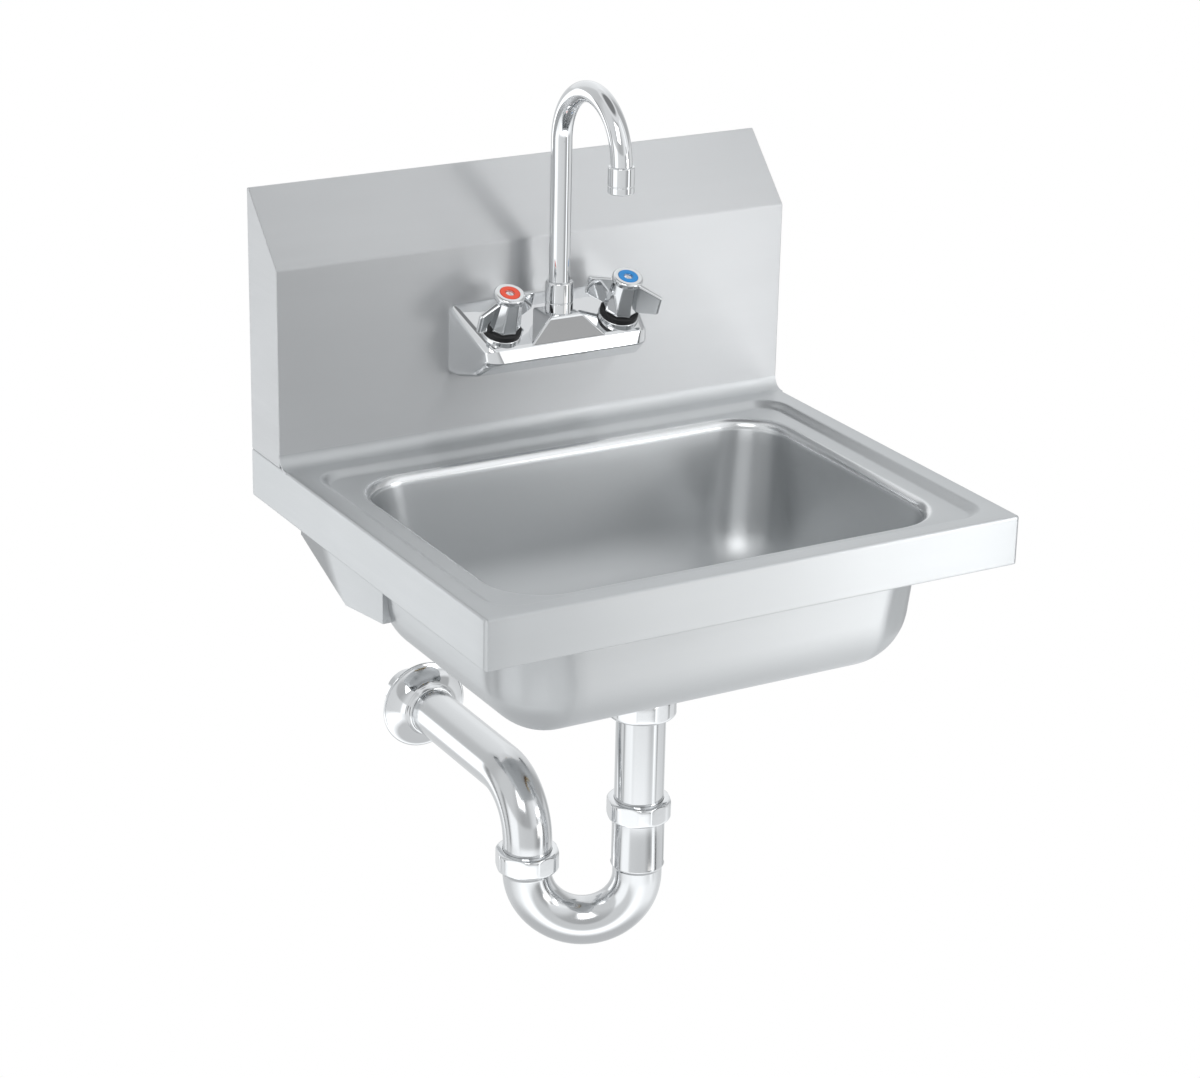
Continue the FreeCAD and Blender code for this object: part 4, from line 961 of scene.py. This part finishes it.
def screwGrid(k, base):
    # Round head with a cross recess, on a plain shank.
    head, top = k["screwHead"], k["height"] + k["capHeight"] - k["indexDepth"]
    angle = roundAngles(96)
    arm = np.abs(np.sin(2 * (angle + pi / 4)))
    spoke = spokesOf(angle, right, overAxis)
    rows = []
    for r in (0.02, 0.5, 0.9, 1.25, 1.5, 1.9, 2.5, 2.9, 3.2, 3.36):
        width = r * np.sqrt(np.clip(1 - arm, 0, 1))
        slot = 1 / (1 + np.exp((width - 0.32) * 22)) / (1 + exp((r - 2.0) * 14))
        height = top + 0.12 - 0.28 * (r / head) ** 3 - 0.85 * slot
        rows.append(base + height[:, None] * valveAxis + r * spoke)
    for r, depth in ((head, 0.6), (head, 1.8), (2.0, 1.8), (2.0, 16.0), (0.02, 16.0)):
        rows.append(base + (top - depth) * valveAxis + r * spoke)
    return np.array(rows), False, True


for name, side, rest in (("hot", -1, 200.0), ("cold", 1, -40.0)):
    ringBase = valveBase(side) + valveAxis * faucet["bossHeight"]
    base = ringBase + valveAxis * (knob["ringHeight"] + knob["play"])
    angle = radians(rest)
    along = right * cos(angle) + overAxis * sin(angle)
    across = np.cross(valveAxis, along)
    newPiece(name + "KnobShell", [hubGrid(knob, base, along, across), capGrid(knob, base),
                                  wingGrid(knob, base, along, across), wingGrid(knob, base, -along, across)],
             [name + "_handle"], "handle_chrome", sharp=24)
    newPiece(name + "BaseRing", [ringGrid(knob["ring"], knob["ringBore"], 0, knob["ringHeight"], ringBase,
                                          1.1)],
             [name + "_base_ring"], "base_ring_rubber")
    top = knob["height"] + knob["capHeight"]
    newPiece(name + "IndexRing", [ringGrid(knob["index"], knob["indexBore"], top - knob["indexDepth"],
                                           top + knob["indexProud"], base, 0.25)],
             [name + "_index_ring"], name + "_index")
    newPiece(name + "Screw", [screwGrid(knob, base)], [name + "_handle_screw"], "screw_steel", sharp=50)
print("stage: faucet")


# Pieces kept in the CAD's shape: a merged copy with smooth shading and crisp edges

slotOfNode = {entry["node"]: entry["material_slot"] for entry in frame["record"]["subparts"]}
shown = {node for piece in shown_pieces() for node in piece.get("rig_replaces", [])}
for node, source in frame["nodes"].items():
    if node not in shown:
        mesh = source.data.copy()
        mesh.name = node + "Shell"
        mergeMesh(mesh, distance=0.00001)
        dressPiece(node + "Shell", mesh, [node], slotOfNode[node], 30)
print("stage: kept shapes")


# Stage, light and camera

studio = dict(
    floorZ=-1.02, floorHalf=3.0, floorColour=(0.86, 0.86, 0.86), floorRough=0.9,
    roof=(0.86, 0.87, 0.88), zenith=(0.24, 0.245, 0.25), nadir=(0.66, 0.67, 0.68),
)
# Soft panels: place, target, width and height in metres, power in watts and colour
panels = {
    "keyPanel": ((-1.6, -2.2, 1.9), (0, -0.2, -0.2), (1.6, 1.6), 18.0, (1, 1, 1)),
    "nearPanel": ((0.36, -0.88, -0.42), (0.02, -0.28, -0.18), (0.36, 0.26), 0.2, (1.0, 0.96, 0.92)),
    "splashPanel": ((0.60, -0.95, -0.04), (0.08, -0.05, -0.02), (0.30, 0.18), 0.7, (1, 1, 1)),
}
# Brightness by bearing in degrees: the tent's walls below and above the level of the eye, and the ground
lowWalls = [
    (-180, 0.75), (-160, 0.70), (-153, 1.70), (-141, 1.70), (-138, 0.35), (-132, 0.35), (-129, 0.95),
    (-116, 0.90), (-113, 0.30), (-108, 0.35), (-104, 1.0), (-96, 1.35), (-70, 1.35), (-62, 0.85), (-30, 0.80),
    (0, 0.78), (20, 0.42), (28, 0.46), (31, 0.72), (34, 1.15), (36, 1.75), (39, 1.75), (42, 1.2), (47, 1.1),
    (50, 0.12), (55, 0.15), (58, 0.75), (95, 0.85), (110, 0.5), (130, 0.85), (180, 0.75),
]
highWalls = [
    (-180, 0.95), (-164, 0.90), (-154, 0.70), (-125, 0.64), (-110, 0.8), (-75, 0.8), (-55, 0.6), (-40, 0.5),
    (-10, 0.55), (5, 0.9), (18, 1.0), (24, 1.0), (31, 1.2), (43, 1.2), (47, 0.75), (54, 1.0), (62, 1.0),
    (70, 0.5), (105, 0.5), (120, 0.8), (138, 1.0), (150, 1.08), (160, 1.0), (180, 0.95),
]
ground = [
    (-180, 0.80), (-120, 0.85), (-80, 1.2), (-50, 1.6), (-10, 1.6), (20, 1.3), (60, 1.2), (90, 0.9),
    (180, 0.80),
]
# Cards hung in the tent: from and to bearing in degrees, from and to the Z of the way one looks, brightness
tentCards = [(25.0, 31.2, 0.13, 0.27, 0.45), (23.5, 32.0, -0.10, 0.10, 1.6)]
# The photograph's view: angles in degrees, metres, and the lens as the picture's pixels
view = dict(
    azimuth=-30.07, elevation=21.14, roll=1.24, distance=2.32391,
    target=(-0.02225, -0.18972, -0.18222), lens=3124.04, picture=1200, sensor=36.0,
)


def paleFloor():
    # Pale floor, white to the camera as the photograph's ground is.
    material, tree, shader = startMaterial("paleFloor")
    feed(tree, shader, {"Base Color": (*studio["floorColour"], 1), "Roughness": studio["floorRough"]})
    fromCamera = addNode(tree, "LightPath", {})["Is Camera Ray"]
    glow = addNode(tree, "Emission", {"Color": (1, 1, 1, 1)})["Emission"]
    look = addNode(tree, "MixShader", {"Fac": fromCamera, 1: shader.outputs["BSDF"], 2: glow})["Shader"]
    feed(tree, tree.nodes["Material Output"], {"Surface": look})
    half, z = studio["floorHalf"], studio["floorZ"]
    mesh = bpy.data.meshes.new("studioFloor")
    corners = [(-half, -half, z), (half, -half, z), (half, half, z), (-half, half, z)]
    mesh.from_pydata(corners, [], [(0, 1, 2, 3)])
    mesh.materials.append(material)
    floor = newObject("studioFloor", mesh)
    floor.visible_glossy = False


def studioWorld():
    # White to the camera. Reflections see a tent: its walls and the ground change with the bearing (0 in
    # front, to the right positive), with narrow dark gaps between the panels; the rest is even.
    world = bpy.data.worlds.new("studioTent")
    bpy.context.scene.world = world
    world.use_nodes = True
    tree = world.node_tree
    way = addNode(tree, "SeparateXYZ", {0: addNode(tree, "TexCoord", {})["Generated"]})
    height = way["Z"]
    bearing = mathNode(tree, "ARCTAN2", way["X"], mathNode(tree, "MULTIPLY", way["Y"], -1.0))
    turnShare = mathNode(tree, "ADD", mathNode(tree, "DIVIDE", bearing, 2 * pi), 0.5)

    def wallRamp(walls):
        node = tree.nodes.new("ShaderNodeValToRGB")
        while len(node.color_ramp.elements) < len(walls):
            node.color_ramp.elements.new(0.5)
        for element, (degrees, value) in zip(node.color_ramp.elements, walls):
            element.position = degrees / 360 + 0.5
            element.color = (value * 0.985, value, value * 1.01, 1)
        feed(tree, node, {"Fac": turnShare})
        return node.outputs["Color"]

    def band(value, low, high, soft):
        return mathNode(tree, "MULTIPLY", rangeNode(tree, value, low - soft, low),
                        rangeNode(tree, value, high, high + soft, 1.0, 0.0))
    look = wallRamp(lowWalls)
    for low, high, tone in ((0.06, 0.12, wallRamp(highWalls)), (0.80, 0.84, (*studio["roof"], 1)),
                            (0.90, 0.95, (*studio["zenith"], 1)), (-0.38, -0.48, wallRamp(ground)),
                            (-0.68, -0.85, (*studio["nadir"], 1))):
        look = mixNode(tree, rangeNode(tree, height, low, high), look, tone)
    for start, end, low, high, tone in tentCards:
        mask = mathNode(tree, "MULTIPLY", band(bearing, radians(start), radians(end), 0.014),
                        band(height, low, high, 0.015))
        look = mixNode(tree, mask, look, (tone, tone, tone, 1))
    fromCamera = addNode(tree, "LightPath", {})["Is Camera Ray"]
    feed(tree, tree.nodes["Background"], {"Color": mixNode(tree, fromCamera, look, (1, 1, 1, 1))})


def photoCamera():
    data = bpy.data.cameras.new("photoView")
    data.sensor_width = view["sensor"]
    data.lens = view["lens"] / view["picture"] * view["sensor"]
    camera = newObject("photoView", data)
    turned = Matrix.Translation(view["target"])
    for degrees, axis in ((view["azimuth"], "Z"), (90 - view["elevation"], "X"), (view["roll"], "Z")):
        turned = turned @ Matrix.Rotation(radians(degrees), 4, axis)
    camera.matrix_world = turned @ Matrix.Translation((0, 0, view["distance"]))
    bpy.context.scene.camera = camera


paleFloor()
for name, (place, target, size, power, colour) in panels.items():
    data = bpy.data.lights.new(name, "AREA")
    data.shape = "RECTANGLE"
    data.size, data.size_y = size
    data.energy = power
    data.color = colour
    lamp = newObject(name, data)
    lamp.location = place
    lamp.visible_camera = False
    lamp.rotation_euler = (Vector(target) - Vector(place)).to_track_quat("-Z", "Y").to_euler()
studioWorld()
photoCamera()
bpy.context.scene.view_settings.view_transform = "Standard"
print("stage: studio")
